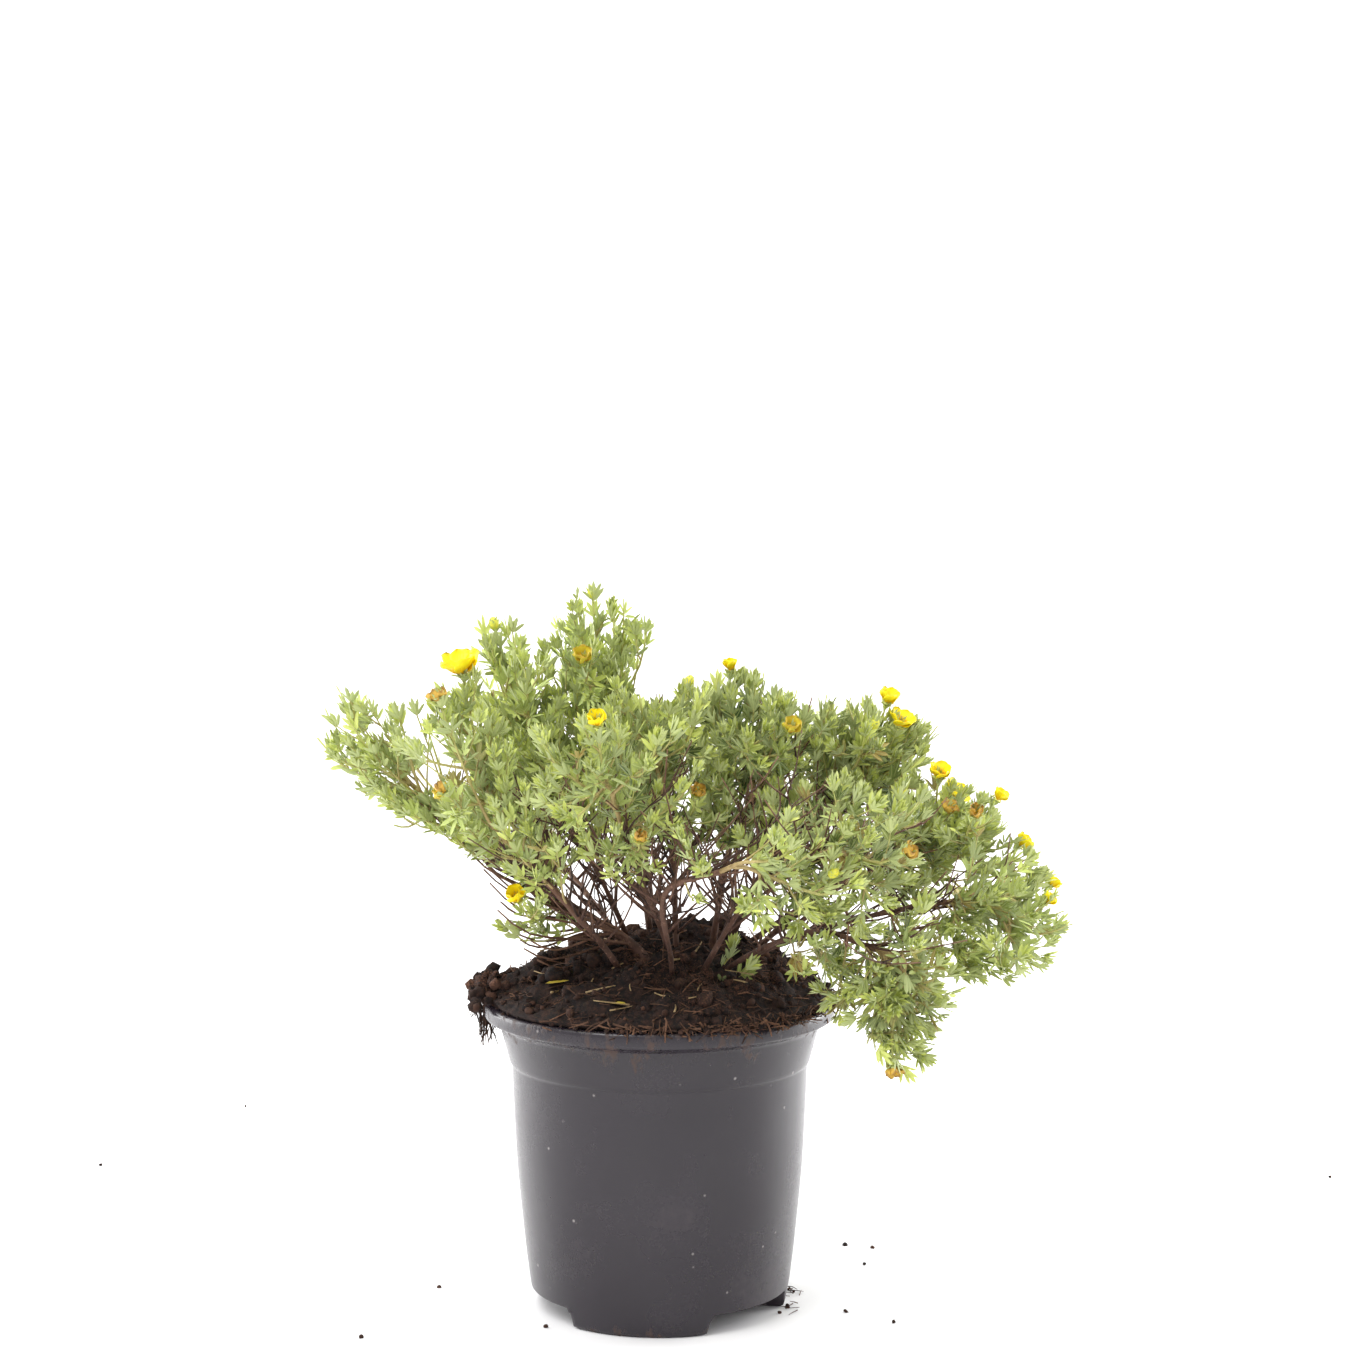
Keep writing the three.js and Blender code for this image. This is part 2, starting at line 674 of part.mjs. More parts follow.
function addPiece(name, solid, colour, roughness) {
  const material = new THREE.MeshStandardMaterial({ color: colour, roughness, metalness: 0 });
  const mesh = new THREE.Mesh(geometryOf(solid), material);
  mesh.name = name;
  plant.add(mesh);
}

function addStem({ branch, stem }) {
  const name = `stem_${branch.name}`;
  const twigs = stemTwigs(name, stem);
  addPiece(name, fused([stem, ...twigs].map(limbGeometry)), COLOURS.stem, 0.8);
}

function addSpray({ branch, limbs }) {
  const name = `spray_${branch.name}`;
  const leaves = limbs.flatMap((limb, i) => shootLeaves(name, limb, branch.shoots[i].bears));
  addPiece(name, fused([...limbs.map(limbGeometry), ...leaves]), COLOURS.spray, 0.6);
}

const counts = { bloom: 0, faded_bloom: 0, bud: 0, fallen_leaf: 0 };

function numbered(kind) {
  counts[kind] += 1;
  return `${kind}_${String(counts[kind]).padStart(2, "0")}`;
}

function addFlowers({ branch, limbs }) {
  branch.shoots.forEach(({ bears }, i) => {
    if (bears === "leaf") {
      return;
    }
    const name = numbered(bears);
    const { geometry, beads } = flowerAt(bears, limbs[i]);
    clearance.add(name, beads);
    addPiece(name, solidOf(geometry), COLOURS[bears], 0.5);
  });
}

const grown = BRANCHES.map((branch) => {
  const stem = stemLimb(branch);
  const limbs = sprayLimbs(stem, branch.shoots);
  clearance.add(`stem_${branch.name}`, limbBeads(stem));
  limbs.forEach((limb) => clearance.add(`spray_${branch.name}`, limbBeads(limb)));
  return { branch, stem, limbs };
});

addPiece("pot", potSolid(), COLOURS.pot, 0.35);
addPiece("soil", soilSolid(grown.map(({ stem }) => stemHole(stem))), COLOURS.soil, 0.95);
grown.forEach(addFlowers);
grown.forEach(addStem);
grown.forEach(addSpray);
FALLEN_LEAVES.forEach((spot) => {
  const leaf = settle(fallenLeafGeometry(spot), plant.getObjectByName("soil"));
  addPiece(numbered("fallen_leaf"), solidOf(leaf), COLOURS.fallen_leaf, 0.6);
});

export default plant;
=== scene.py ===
"""A potted shrubby cinquefoil: the looks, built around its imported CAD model.

Metres, +Z up. The pot's axis is the Z axis and the front of the plant faces -Y.
"""

import logging
import math
import random
from collections.abc import Callable, Iterator
from dataclasses import dataclass, field
from enum import Enum

import bmesh
import bpy
from mathutils import Matrix, Quaternion, Vector, noise


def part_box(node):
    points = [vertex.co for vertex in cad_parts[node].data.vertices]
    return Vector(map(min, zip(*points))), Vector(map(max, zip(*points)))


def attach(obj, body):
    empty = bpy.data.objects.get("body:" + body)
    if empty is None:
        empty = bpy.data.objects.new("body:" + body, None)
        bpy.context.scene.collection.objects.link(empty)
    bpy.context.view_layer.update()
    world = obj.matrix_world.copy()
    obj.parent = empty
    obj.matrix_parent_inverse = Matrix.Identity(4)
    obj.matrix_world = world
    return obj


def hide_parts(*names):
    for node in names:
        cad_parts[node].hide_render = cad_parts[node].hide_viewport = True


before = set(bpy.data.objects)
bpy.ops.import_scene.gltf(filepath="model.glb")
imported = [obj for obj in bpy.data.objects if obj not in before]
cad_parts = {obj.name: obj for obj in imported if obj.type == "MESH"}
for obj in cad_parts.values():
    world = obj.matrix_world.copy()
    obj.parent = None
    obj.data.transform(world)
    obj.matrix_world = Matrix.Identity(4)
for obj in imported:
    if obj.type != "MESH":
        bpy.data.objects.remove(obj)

MM = 0.001
PHOTO_SIDE = 1366  # pixels
GOLDEN_TURN = math.radians(137.5)
UP = Vector((0, 0, 1))

# The numbers of a Mix node's two colour inputs
MIX_A, MIX_B = 6, 7


# Measures shared with the CAD model, in millimetres where not said otherwise

POT_HEIGHT = 150.0
GAP = 0.3
MOUND_HEIGHT = 23.0
MOUND_RADIUS = 83.0
SPILL_THICKNESS = 2.4
CLOD_HEIGHT = 5.0
SPILL_REACH = 9.0
SPILL_SPREAD = 0.16  # radians either side of -X
SPILL_RIPPLE = 1.2
STEM_ROOT_DEPTH = 17.0
UPRIGHT_START = 0.35
STEM_TIP_RADIUS = 1.3
LEADER_RADII = (1.15, 0.6)
SIDE_SHOOT_RADII = (0.9, 0.6)
FIRST_SIDE_SHOOT = 0.1
SIDE_SHOOT_SPACING = 0.16
FACING_LIGHT = Vector((0, -0.45, 0.9))
CALYX_HEIGHT = 3.4

# How close the knobs of a limb stand, as features in a metre
KNOB_SCALE = 140


class Bears(Enum):
    """What stands at the end of a shoot."""

    LEAF = "leaf"
    BLOOM = "bloom"
    FADED = "faded_bloom"
    BUD = "bud"


class LeafPose(Enum):
    """How far a leaf has opened: leaflet directions and rise, in degrees."""

    SPREAD = ((-74, -38, 0, 38, 74), 14)
    HALF_OPEN = ((-46, -24, 0, 24, 46), 26)
    TUFT = ((-26, -13, 0, 13, 26), 28)


@dataclass(frozen=True)
class Shoot:
    """A green shoot: what it bears, and where its tip is, in millimetres."""

    bears: Bears
    tip: tuple[float, float, float]


def leafy(*tip: float) -> Shoot:
    """A shoot that ends in leaves."""
    return Shoot(Bears.LEAF, tip)


def bloom(*tip: float) -> Shoot:
    """A shoot that ends in an open flower."""
    return Shoot(Bears.BLOOM, tip)


def faded(*tip: float) -> Shoot:
    """A shoot that ends in a wilted flower."""
    return Shoot(Bears.FADED, tip)


def bud(*tip: float) -> Shoot:
    """A shoot that ends in a closed bud."""
    return Shoot(Bears.BUD, tip)


@dataclass(frozen=True)
class Branch:
    """A main branch: foot on the soil, bend, fork where the spray starts, girth at the foot, and its shoots.

    Its sprigs are the finer shoots that leave the stem itself, each with the share of the stem's length where
    it starts. Its runners are bare shoots, each with that share and its tip. The mean tint of its leaves is
    painted light and shade, from 0, painted shade, to 1 and above, painted light: mostly high on the left and
    in the crown, where the light falls, and low on the right, in the middle and at the back, in shade.
    Withered is the share of brown ones. Millimetres.
    """

    name: str
    foot: tuple[float, float]
    bend: tuple[float, float, float]
    fork: tuple[float, float, float]
    girth: float
    shoots: tuple[Shoot, ...]
    sprigs: tuple[tuple[float, Shoot], ...] = ()
    # The mean tint of the leaves: painted light where it is high, painted shade where it is low
    tone: float = 0.5
    withered: float = 0.02
    runners: tuple[tuple[float, float, float, float], ...] = ()


BRANCHES = (
    Branch("far_left", (-26, -6), (-60, -24, 208), (-84, -28, 228), 3.4, tone=1.15,
           shoots=(leafy(-151, -30, 301), leafy(-163, -16, 279), leafy(-123, -44, 298),
                   leafy(-142, -20, 254)),
           sprigs=((0.72, leafy(-96, -44, 236)), (0.9, leafy(-112, -36, 246)), (0.95, leafy(-98, -10, 238)),
                   (0.9, bloom(-98, -66, 254)), (0.95, leafy(-146, -44, 292)), (0.95, leafy(-154, -24, 286)),
                   (0.95, leafy(-116, -40, 300)), (0.95, leafy(-138, -36, 301)),
                   (0.95, leafy(-152, -30, 305))),
           runners=((0.4, -92, -32, 230), (0.2, -66, -30, 184), (0.3, -75, -34, 203))),
    Branch("low_left", (-10, -18), (-46, 0, 198), (-78, 10, 222), 5.4, tone=0.7,
           shoots=(leafy(-131, 30, 263), leafy(-131, 56, 270), leafy(-112, 10, 278), leafy(-129, 6, 234)),
           sprigs=((0.6, leafy(-62, -34, 236)), (0.66, leafy(-50, -44, 226)), (0.85, leafy(-88, -12, 236)),
                   (0.8, leafy(-72, 34, 236)), (0.45, bloom(-64, -58, 206)), (0.7, leafy(-70, -30, 256)),
                   (0.9, leafy(-92, 30, 250)), (0.25, leafy(-72, -36, 189))),
           runners=((0.06, -86, -32, 226), (0.1, -80, -34, 212), (0.08, -92, -30, 233),
                    (0.16, -72, -32, 191), (0.12, -64, -36, 181), (0.34, -84, -18, 216),
                    (0.2, -60, -44, 186), (0.1, -58, -28, 174), (0.26, -68, -12, 190),
                    (0.05, -76, -40, 200))),
    Branch("front_left", (-20, -30), (-44, -62, 208), (-62, -72, 230), 3.2, tone=0.86,
           shoots=(bloom(-89, -70, 311), faded(-98, -88, 301), faded(-94, -100, 262), leafy(-110, -72, 280)),
           sprigs=((0.7, leafy(-70, -94, 246)), (0.6, leafy(-46, -92, 236)), (0.85, leafy(-86, -80, 244)),
                   (0.9, leafy(-60, -98, 262)), (0.8, leafy(-52, -60, 262)), (0.95, leafy(-92, -62, 300)),
                   (0.95, leafy(-80, -78, 296)), (0.95, leafy(-98, -66, 303)))),
    Branch("upper_left", (-14, 4), (-31, -2, 214), (-46, -7, 240), 3.0, tone=1.1,
           shoots=(bud(-78, -10, 330), faded(-92, -40, 287), leafy(-62, -50, 315), leafy(-80, 32, 300)),
           sprigs=((0.7, leafy(-42, -38, 250)), (0.85, leafy(-60, -30, 262)), (0.75, leafy(-28, -40, 240)),
                   (0.95, leafy(-50, -44, 282)), (0.8, leafy(-48, 36, 264)), (0.9, leafy(-76, 10, 272)),
                   (0.95, leafy(-80, -16, 322)), (0.95, leafy(-66, -20, 308)), (0.95, leafy(-70, -14, 330)),
                   (0.95, leafy(-74, -6, 335)), (0.95, leafy(-84, -10, 328)))),
    Branch("crown", (-4, 12), (-13, 14, 228), (-21, 9, 252), 3.6, tone=1.1,
           shoots=(bud(-32, 0, 344), leafy(-6, -14, 330), leafy(-50, 18, 328), bloom(-35, -38, 315)),
           sprigs=((0.7, leafy(-34, -14, 258)), (0.8, leafy(2, 14, 264)), (0.75, leafy(-18, -24, 252)),
                   (0.95, leafy(-34, -34, 282)), (0.9, leafy(-10, -34, 274)), (0.85, leafy(-26, 44, 272)),
                   (0.95, leafy(-20, -4, 318)), (0.95, leafy(-38, 4, 336)), (0.95, leafy(-22, -8, 336)),
                   (0.95, leafy(-40, -6, 346)), (0.95, leafy(-17, -8, 345)), (0.95, leafy(-54, -10, 318)),
                   (0.95, leafy(-44, -20, 292)), (0.95, leafy(-10, -10, 322)))),
    Branch("front_centre", (5, -30), (-12, -66, 228), (-16, -84, 244), 3.2, tone=0.58,
           shoots=(bloom(-26, -128, 294), leafy(-50, -118, 287), leafy(0, -126, 288), leafy(-40, -128, 256)),
           sprigs=((0.7, leafy(-32, -104, 240)), (0.8, faded(-8, -114, 243)), (0.6, leafy(-22, -98, 228)),
                   (0.9, leafy(10, -104, 264)), (0.85, leafy(2, -88, 250)), (0.95, leafy(-28, -84, 274)))),
    Branch("centre", (8, -8), (6, -22, 231), (4, -26, 243), 3.4, tone=0.3,
           shoots=(leafy(-9, -44, 302), bud(14, -10, 302), leafy(16, -66, 290), leafy(-20, -72, 298)),
           sprigs=((0.7, leafy(22, -40, 262)), (0.6, leafy(28, -32, 244)), (0.65, leafy(12, -52, 238)),
                   (0.9, leafy(20, -30, 276)), (0.8, faded(17, -66, 256)), (0.8, leafy(-14, -50, 256)),
                   (0.95, leafy(10, -20, 300)), (0.95, leafy(0, 6, 298)))),
    Branch("back_centre", (-2, 30), (-8, 64, 213), (-12, 80, 234), 3.0, tone=0.3,
           shoots=(leafy(-45, 112, 284), leafy(-20, 128, 290), leafy(12, 118, 288)),
           sprigs=((0.7, leafy(8, 84, 262)), (0.8, leafy(-26, 90, 262)), (0.85, leafy(24, 98, 256)),
                   (0.5, leafy(12, 62, 216)), (0.6, leafy(-22, 62, 222)), (0.65, leafy(20, 50, 236)),
                   (0.9, leafy(0, 60, 284)), (0.75, leafy(-20, 104, 240)))),
    Branch("right_centre", (25, -8), (34, -20, 228), (40, -25, 243), 3.8, tone=0.04,
           shoots=(bloom(34, -6, 307), leafy(56, -20, 303), bloom(60, -66, 285), leafy(40, -84, 284)),
           sprigs=((0.7, leafy(22, -44, 270)), (0.65, leafy(32, -52, 252)), (0.8, leafy(48, -46, 252)),
                   (0.9, leafy(58, -40, 264)), (0.6, leafy(54, -10, 240)), (0.95, leafy(30, 10, 284)),
                   (0.9, leafy(28, -60, 268)), (0.95, leafy(46, -12, 304)), (0.95, leafy(64, 2, 300)),
                   (0.95, leafy(24, -12, 302)), (0.95, leafy(72, -30, 296)), (0.95, leafy(27, -8, 309)),
                   (0.95, leafy(50, -4, 309)), (0.95, leafy(66, -6, 301)))),
    Branch("upper_right", (32, 8), (56, 6, 219), (73, 5, 236), 3.6, tone=0.04,
           shoots=(bloom(108, -8, 292), leafy(128, 6, 279), leafy(83, 28, 293), leafy(96, -48, 283)),
           sprigs=((0.7, leafy(66, -20, 254)), (0.9, leafy(74, -30, 274)), (0.6, leafy(50, 26, 236)),
                   (0.8, leafy(88, 0, 256)), (0.95, bloom(113, -14, 282)), (0.5, leafy(58, 0, 212)),
                   (0.85, leafy(70, 40, 262)), (0.95, bud(100, -38, 285)), (0.95, leafy(99, -10, 292)),
                   (0.95, leafy(129, -4, 285)), (0.95, leafy(84, -4, 294)), (0.95, leafy(124, -20, 270)),
                   (0.95, leafy(80, -10, 299)), (0.95, leafy(92, -2, 297)), (0.95, leafy(134, 0, 283)))),
    Branch("right", (44, -2), (86, -8, 209), (110, -11, 224), 3.4, tone=0.2,
           shoots=(bloom(172, 4, 222), bloom(160, -10, 246), bloom(132, -30, 259), faded(146, -56, 246)),
           sprigs=((0.8, leafy(122, -34, 210)), (0.9, leafy(140, -16, 212)), (0.7, leafy(102, -36, 214)),
                   (0.95, leafy(152, -24, 218)), (0.6, leafy(90, 14, 214)), (0.9, leafy(118, -44, 238)),
                   (0.85, bud(112, -56, 256)), (0.75, leafy(104, 8, 244)), (0.95, faded(134, -30, 244)),
                   (0.95, leafy(160, -20, 240)), (0.95, leafy(176, -12, 222)), (0.95, leafy(148, -4, 250)),
                   (0.95, leafy(166, 0, 232)))),
    Branch("far_right", (42, -18), (97, -32, 195), (136, -40, 204), 3.2, tone=0.78, withered=0.05,
           shoots=(leafy(192, -30, 188), bloom(186, -6, 203), leafy(178, -48, 174), leafy(158, -72, 178)),
           sprigs=((0.7, leafy(126, -54, 182)), (0.85, leafy(142, -62, 172)), (0.75, leafy(118, -44, 186)),
                   (0.9, leafy(146, -36, 182)), (0.6, leafy(104, -44, 178)), (0.95, leafy(160, -44, 208)),
                   (0.9, bloom(181, -26, 199)), (0.5, leafy(84, -40, 176)), (0.8, leafy(132, -20, 218)),
                   (0.95, leafy(184, -16, 210)), (0.95, leafy(146, -50, 196)), (0.95, leafy(148, -64, 172)),
                   (0.95, leafy(170, -30, 190)), (0.95, leafy(193, -24, 197)), (0.95, leafy(160, -58, 170)),
                   (0.95, leafy(196, -32, 192)))),
    Branch("drooping_right", (32, -32), (74, -70, 195), (99, -88, 190), 2.8, tone=0.38, withered=0.2,
           shoots=(leafy(124, -92, 138), faded(106, -104, 143), leafy(90, -98, 160), leafy(128, -76, 162)),
           sprigs=((0.8, leafy(84, -96, 172)), (0.9, leafy(106, -104, 170)), (0.85, leafy(118, -76, 178)),
                   (0.7, leafy(78, -88, 180)), (0.95, leafy(112, -96, 156)), (0.9, leafy(98, -112, 184)),
                   (0.6, leafy(88, -64, 176)), (0.95, leafy(132, -90, 178)), (0.95, leafy(122, -82, 150)),
                   (0.95, leafy(113, -99, 133)), (0.95, leafy(98, -104, 147)), (0.9, leafy(82, -92, 160)),
                   (0.5, leafy(66, -86, 178)), (0.95, leafy(134, -80, 166)), (0.95, leafy(126, -90, 152)),
                   (0.95, leafy(119, -92, 142)), (0.95, leafy(104, -102, 138)))),
    Branch("low_front", (6, -42), (4, -88, 217), (28, -110, 229), 2.6, tone=0.82,
           shoots=(leafy(85, -126, 224), leafy(58, -138, 243), leafy(46, -128, 212)),
           sprigs=((0.9, leafy(20, -126, 232)), (0.8, leafy(16, -104, 216)))),
    Branch("front_right", (20, -38), (50, -80, 222), (70, -94, 233), 2.8, tone=0.08, withered=0.1,
           shoots=(faded(107, -120, 238), leafy(89, -122, 264), leafy(100, -120, 216), leafy(118, -92, 258)),
           sprigs=((0.7, leafy(80, -112, 212)), (0.8, leafy(96, -108, 202)), (0.6, leafy(64, -106, 212)),
                   (0.9, leafy(84, -84, 262)), (0.8, leafy(66, -70, 256)), (0.75, bud(76, -122, 229)),
                   (0.7, leafy(52, -96, 240)), (0.95, leafy(110, -100, 222)), (0.95, leafy(100, -86, 244)),
                   (0.04, leafy(42, -40, 172)))),
    Branch("back_right", (24, 28), (56, 70, 202), (78, 88, 226), 3.2, tone=0.36,
           shoots=(leafy(127, 116, 258), leafy(99, 132, 272), bloom(148, 94, 236)),
           sprigs=((0.7, leafy(60, 72, 262)), (0.9, leafy(100, 86, 252)), (0.85, leafy(80, 106, 234)),
                   (0.5, leafy(54, 52, 214)), (0.6, leafy(76, 62, 206)), (0.65, leafy(42, 52, 230)),
                   (0.8, leafy(58, 96, 240)), (0.9, leafy(108, 70, 230)), (0.95, leafy(84, 64, 280)))),
    Branch("back_left", (-22, 26), (-47, 64, 203), (-64, 80, 224), 3.0, tone=0.42,
           shoots=(leafy(-107, 104, 265), leafy(-85, 128, 273), leafy(-113, 82, 240)),
           sprigs=((0.7, leafy(-60, 92, 262)), (0.9, leafy(-86, 70, 248)), (0.85, leafy(-50, 106, 250)),
                   (0.6, leafy(-64, 56, 218)), (0.8, leafy(-40, 72, 258)), (0.95, leafy(-70, 60, 272)))),
    Branch("low_back_right", (42, 21), (84, 48, 194), (118, 66, 206), 3.0, tone=0.4,
           shoots=(leafy(163, 78, 212), leafy(171, 60, 189), leafy(139, 96, 184)),
           sprigs=((0.8, leafy(126, 50, 224)), (0.95, leafy(142, 72, 216)), (0.6, leafy(88, 62, 180)),
                   (0.7, leafy(98, 40, 214)), (0.85, leafy(120, 82, 180)), (0.5, leafy(72, 30, 188)))),
)


@dataclass(frozen=True)
class FrontView:
    """The photograph's view, with the foliage's outline and its see-through gaps in the photograph's pixels.

    A gap is an ellipse: its middle, its half width and its half height.
    """

    camera_at: tuple[float, float, float] = (0.0113, -1.4, 0.428)
    pitch_deg: float = 5.07
    focal_px: float = 2920.0
    outline: tuple[tuple[int, int], ...] = (
        (316, 730), (330, 688), (346, 690), (372, 702), (404, 698), (422, 698), (440, 686), (442, 655),
        (466, 648), (484, 640), (485, 617), (516, 616), (530, 640), (551, 632), (560, 610), (574, 590),
        (588, 583), (604, 588), (624, 600), (656, 622), (654, 638), (640, 650), (632, 664), (626, 682),
        (634, 698), (664, 700), (682, 679), (706, 683), (730, 663), (756, 669), (778, 688), (802, 694),
        (830, 700), (862, 700), (876, 691), (900, 710), (936, 720), (942, 736), (938, 756), (946, 776),
        (966, 783), (990, 790), (1000, 812), (1014, 834), (1034, 846), (1054, 872), (1060, 900),
        (1072, 924), (1060, 942), (1046, 976), (1018, 984), (984, 980), (962, 992), (950, 1014),
        (936, 1036), (938, 1064), (922, 1078), (906, 1080), (890, 1064), (874, 1044), (850, 1032),
        (822, 1018), (806, 988), (770, 992), (738, 994), (716, 976), (700, 944), (600, 936), (530, 944),
        (502, 938), (474, 900), (470, 864), (448, 842), (424, 828), (396, 816), (370, 798), (350, 774),
        (322, 756),
    )
    gaps: tuple[tuple[int, int, int, int], ...] = (
        (412, 728, 16, 9), (420, 781, 22, 13), (446, 768, 18, 8), (336, 712, 9, 6), (590, 892, 34, 19),
        (680, 896, 9, 12), (960, 868, 9, 10), (986, 860, 6, 6), (350, 776, 8, 5), (622, 908, 12, 10),
        (498, 684, 12, 5), (436, 746, 13, 9), (367, 736, 8, 5), (466, 776, 11, 6), (388, 772, 9, 5),
        (496, 791, 8, 5),
    )

    def pixel(self, point: Vector) -> tuple[float, float]:
        """Where the photograph shows a point.

        Args:
            point: the point, in metres.

        Returns:
            Its pixel.
        """
        away = point - Vector(self.camera_at)
        pitch = math.radians(self.pitch_deg)
        depth = away.y * math.cos(pitch) - away.z * math.sin(pitch)
        rise = away.y * math.sin(pitch) + away.z * math.cos(pitch)
        return PHOTO_SIDE / 2 + self.focal_px * away.x / depth, PHOTO_SIDE / 2 - self.focal_px * rise / depth

    def holds(self, point: Vector) -> bool:
        """Whether the photograph shows foliage where a point is.

        Args:
            point: the point, in metres.

        Returns:
            True inside the outline and outside its gaps.
        """
        x, y = self.pixel(point)
        if any(((x - left) / wide) ** 2 + ((y - top) / high) ** 2 < 1 for left, top, wide, high in self.gaps):
            return False
        inside = False
        for (x1, y1), (x2, y2) in zip(self.outline, self.outline[1:] + self.outline[:1]):
            if (y1 > y) != (y2 > y) and x < x1 + (x2 - x1) * (y - y1) / (y2 - y1):
                inside = not inside
        return inside


FRONT = FrontView()


# Small helpers


def linear(hex_colour: str) -> tuple[float, float, float, float]:
    """Turn an sRGB hex colour into linear red, green, blue and alpha.

    Args:
        hex_colour: six hex digits, with or without a leading mark.

    Returns:
        The four linear values.
    """
    digits = hex_colour.lstrip("#")
    shares = [int(digits[i:i + 2], 16) / 255 for i in (0, 2, 4)]
    red, green, blue = (s / 12.92 if s <= 0.04045 else ((s + 0.055) / 1.055) ** 2.4 for s in shares)
    return red, green, blue, 1.0


def grain(size_mm: float) -> float:
    """The texture scale whose features are about this many millimetres wide."""
    return 1 / (size_mm * MM)


def metres(point: tuple[float, ...]) -> Vector:
    """A point in millimetres as a vector in metres."""
    return Vector(point) * MM


def round_axis(turn: float, radius: float, height: float) -> Vector:
    """A point round the pot's axis, in metres, from radians and millimetres."""
    return metres((radius * math.cos(turn), radius * math.sin(turn), height))


def smoothstep(low: float, high: float, value: float) -> float:
    """Rise smoothly from 0 at low to 1 at high."""
    share = min(1.0, max(0.0, (value - low) / (high - low)))
    return share * share * (3 - 2 * share)


# What feeds a shader input, and what a finish's pattern comes to: its colour and its normal
Value = bpy.types.NodeSocket | float
Look = tuple[bpy.types.NodeSocket, bpy.types.NodeSocket]


@dataclass(frozen=True)
class Clouds:
    """A noise texture: its features' width in millimetres, detail, roughness and scale along Z."""

    size_mm: float
    detail: float = 3.0
    roughness: float = 0.5
    upright: float = 1.0


@dataclass(frozen=True)
class Ramp:
    """What a value from low to high is turned into, evenly or with a smooth start and end."""

    low: float
    high: float
    start: float = 0.0
    end: float = 1.0
    smooth: bool = True


@dataclass(frozen=True)
class Relief:
    """How strongly a pattern is raised, and by how many millimetres."""

    strength: float
    depth_mm: float


class Painter:
    """Adds shader nodes to one material."""

    def __init__(self, material: bpy.types.Material) -> None:
        """Find the material's nodes and its Principled shader."""
        material.use_nodes = True
        self.tree = material.node_tree
        self.shader = next(node for node in self.tree.nodes if node.type == "BSDF_PRINCIPLED")
        self.place = self.add("TexCoord", out="Object")

    def feed(self, socket: bpy.types.NodeSocket, value: object) -> None:
        """Give an input its value, or link it to the output socket that feeds it."""
        if isinstance(value, bpy.types.NodeSocket):
            self.tree.links.new(value, socket)
        else:
            socket.default_value = value

    def add(
        self,
        kind: str,
        inputs: dict[str | int, object] | None = None,
        out: str | None = None,
        **settings: object,
    ) -> bpy.types.NodeSocket:
        """Add a shader node with its settings, its input values and its links.

        Args:
            kind: the node's type name, without the ShaderNode in front.
            inputs: a value for each input socket, or the output socket that feeds it.
            out: the name of the wanted output, where it isn't the first one in use.
            settings: the node's own properties.

        Returns:
            The output socket.
        """
        node = self.tree.nodes.new("ShaderNode" + kind)
        for key, value in settings.items():
            setattr(node, key, value)
        for key, value in (inputs or {}).items():
            self.feed(node.inputs[key], value)
        return node.outputs[out] if out else next(socket for socket in node.outputs if socket.enabled)

    def own(self, name: str) -> bpy.types.NodeSocket:
        """An attribute that each point carries, such as its tint or its age."""
        return self.add("Attribute", out="Fac", attribute_name=name)

    def blade(self) -> tuple[bpy.types.NodeSocket, bpy.types.NodeSocket]:
        """The blade map's directions across and along."""
        blade = self.add("UVMap", uv_map="blade")
        return self.add("SeparateXYZ", {0: blade}, "X"), self.add("SeparateXYZ", {0: blade}, "Y")

    def maths(self, operation: str, *values: Value, **settings: object) -> bpy.types.NodeSocket:
        """The result of a Math node's operation on some values."""
        return self.add("Math", dict(enumerate(values)), operation=operation, **settings)

    def mix(self, share: Value, first: Value | str, second: Value | str) -> bpy.types.NodeSocket:
        """A mix of two colours, each of them a socket or a hex colour."""
        first, second = (linear(colour) if isinstance(colour, str) else colour for colour in (first, second))
        return self.add("Mix", {0: share, MIX_A: first, MIX_B: second}, data_type="RGBA")

    def ramp(self, value: Value, ramp: Ramp) -> bpy.types.NodeSocket:
        """A value that is sent along a ramp."""
        inputs = {0: value, "From Min": ramp.low, "From Max": ramp.high,
                  "To Min": ramp.start, "To Max": ramp.end}
        return self.add("MapRange", inputs, interpolation_type="SMOOTHSTEP" if ramp.smooth else "LINEAR")

    def clouds(self, clouds: Clouds) -> bpy.types.NodeSocket:
        """A noise texture in the object's own space."""
        place = self.place
        if clouds.upright != 1.0:
            place = self.add("Mapping", {"Vector": place, "Scale": (1.0, 1.0, clouds.upright)})
        return self.add("TexNoise", {"Vector": place, "Scale": grain(clouds.size_mm), "Detail": clouds.detail,
                                     "Roughness": clouds.roughness})

    def bump(self, height: Value, relief: Relief, below: Value | None = None, **settings: object
             ) -> bpy.types.NodeSocket:
        """The normal of a raised pattern, on top of what lies below it."""
        inputs = {"Height": height, "Strength": relief.strength, "Distance": relief.depth_mm * MM}
        if below is not None:
            inputs["Normal"] = below
        return self.add("Bump", inputs, **settings)


# The finishes


@dataclass(frozen=True)
class Finish:
    """What every finish shares: a name, a roughness and a refractive index."""

    name: str = "plain"
    roughness: float = 0.6
    ior: float = 1.45

    def material(self) -> bpy.types.Material:
        """The finish as a Blender material, made once.

        Returns:
            The material.
        """
        known = bpy.data.materials.get(self.name)
        if known:
            return known
        made = bpy.data.materials.new(self.name)
        painter = Painter(made)
        sockets = painter.shader.inputs
        painter.feed(sockets["Roughness"], self.roughness)
        painter.feed(sockets["IOR"], self.ior)
        colour, normal = self.paint(painter)
        painter.feed(sockets["Base Color"], colour)
        painter.feed(sockets["Normal"], normal)
        return made

    def paint(self, painter: Painter) -> Look:
        """Build the finish's pattern.

        Args:
            painter: adds nodes to the material.

        Returns:
            The sockets with the colour and the bumped normal.
        """
        raise NotImplementedError


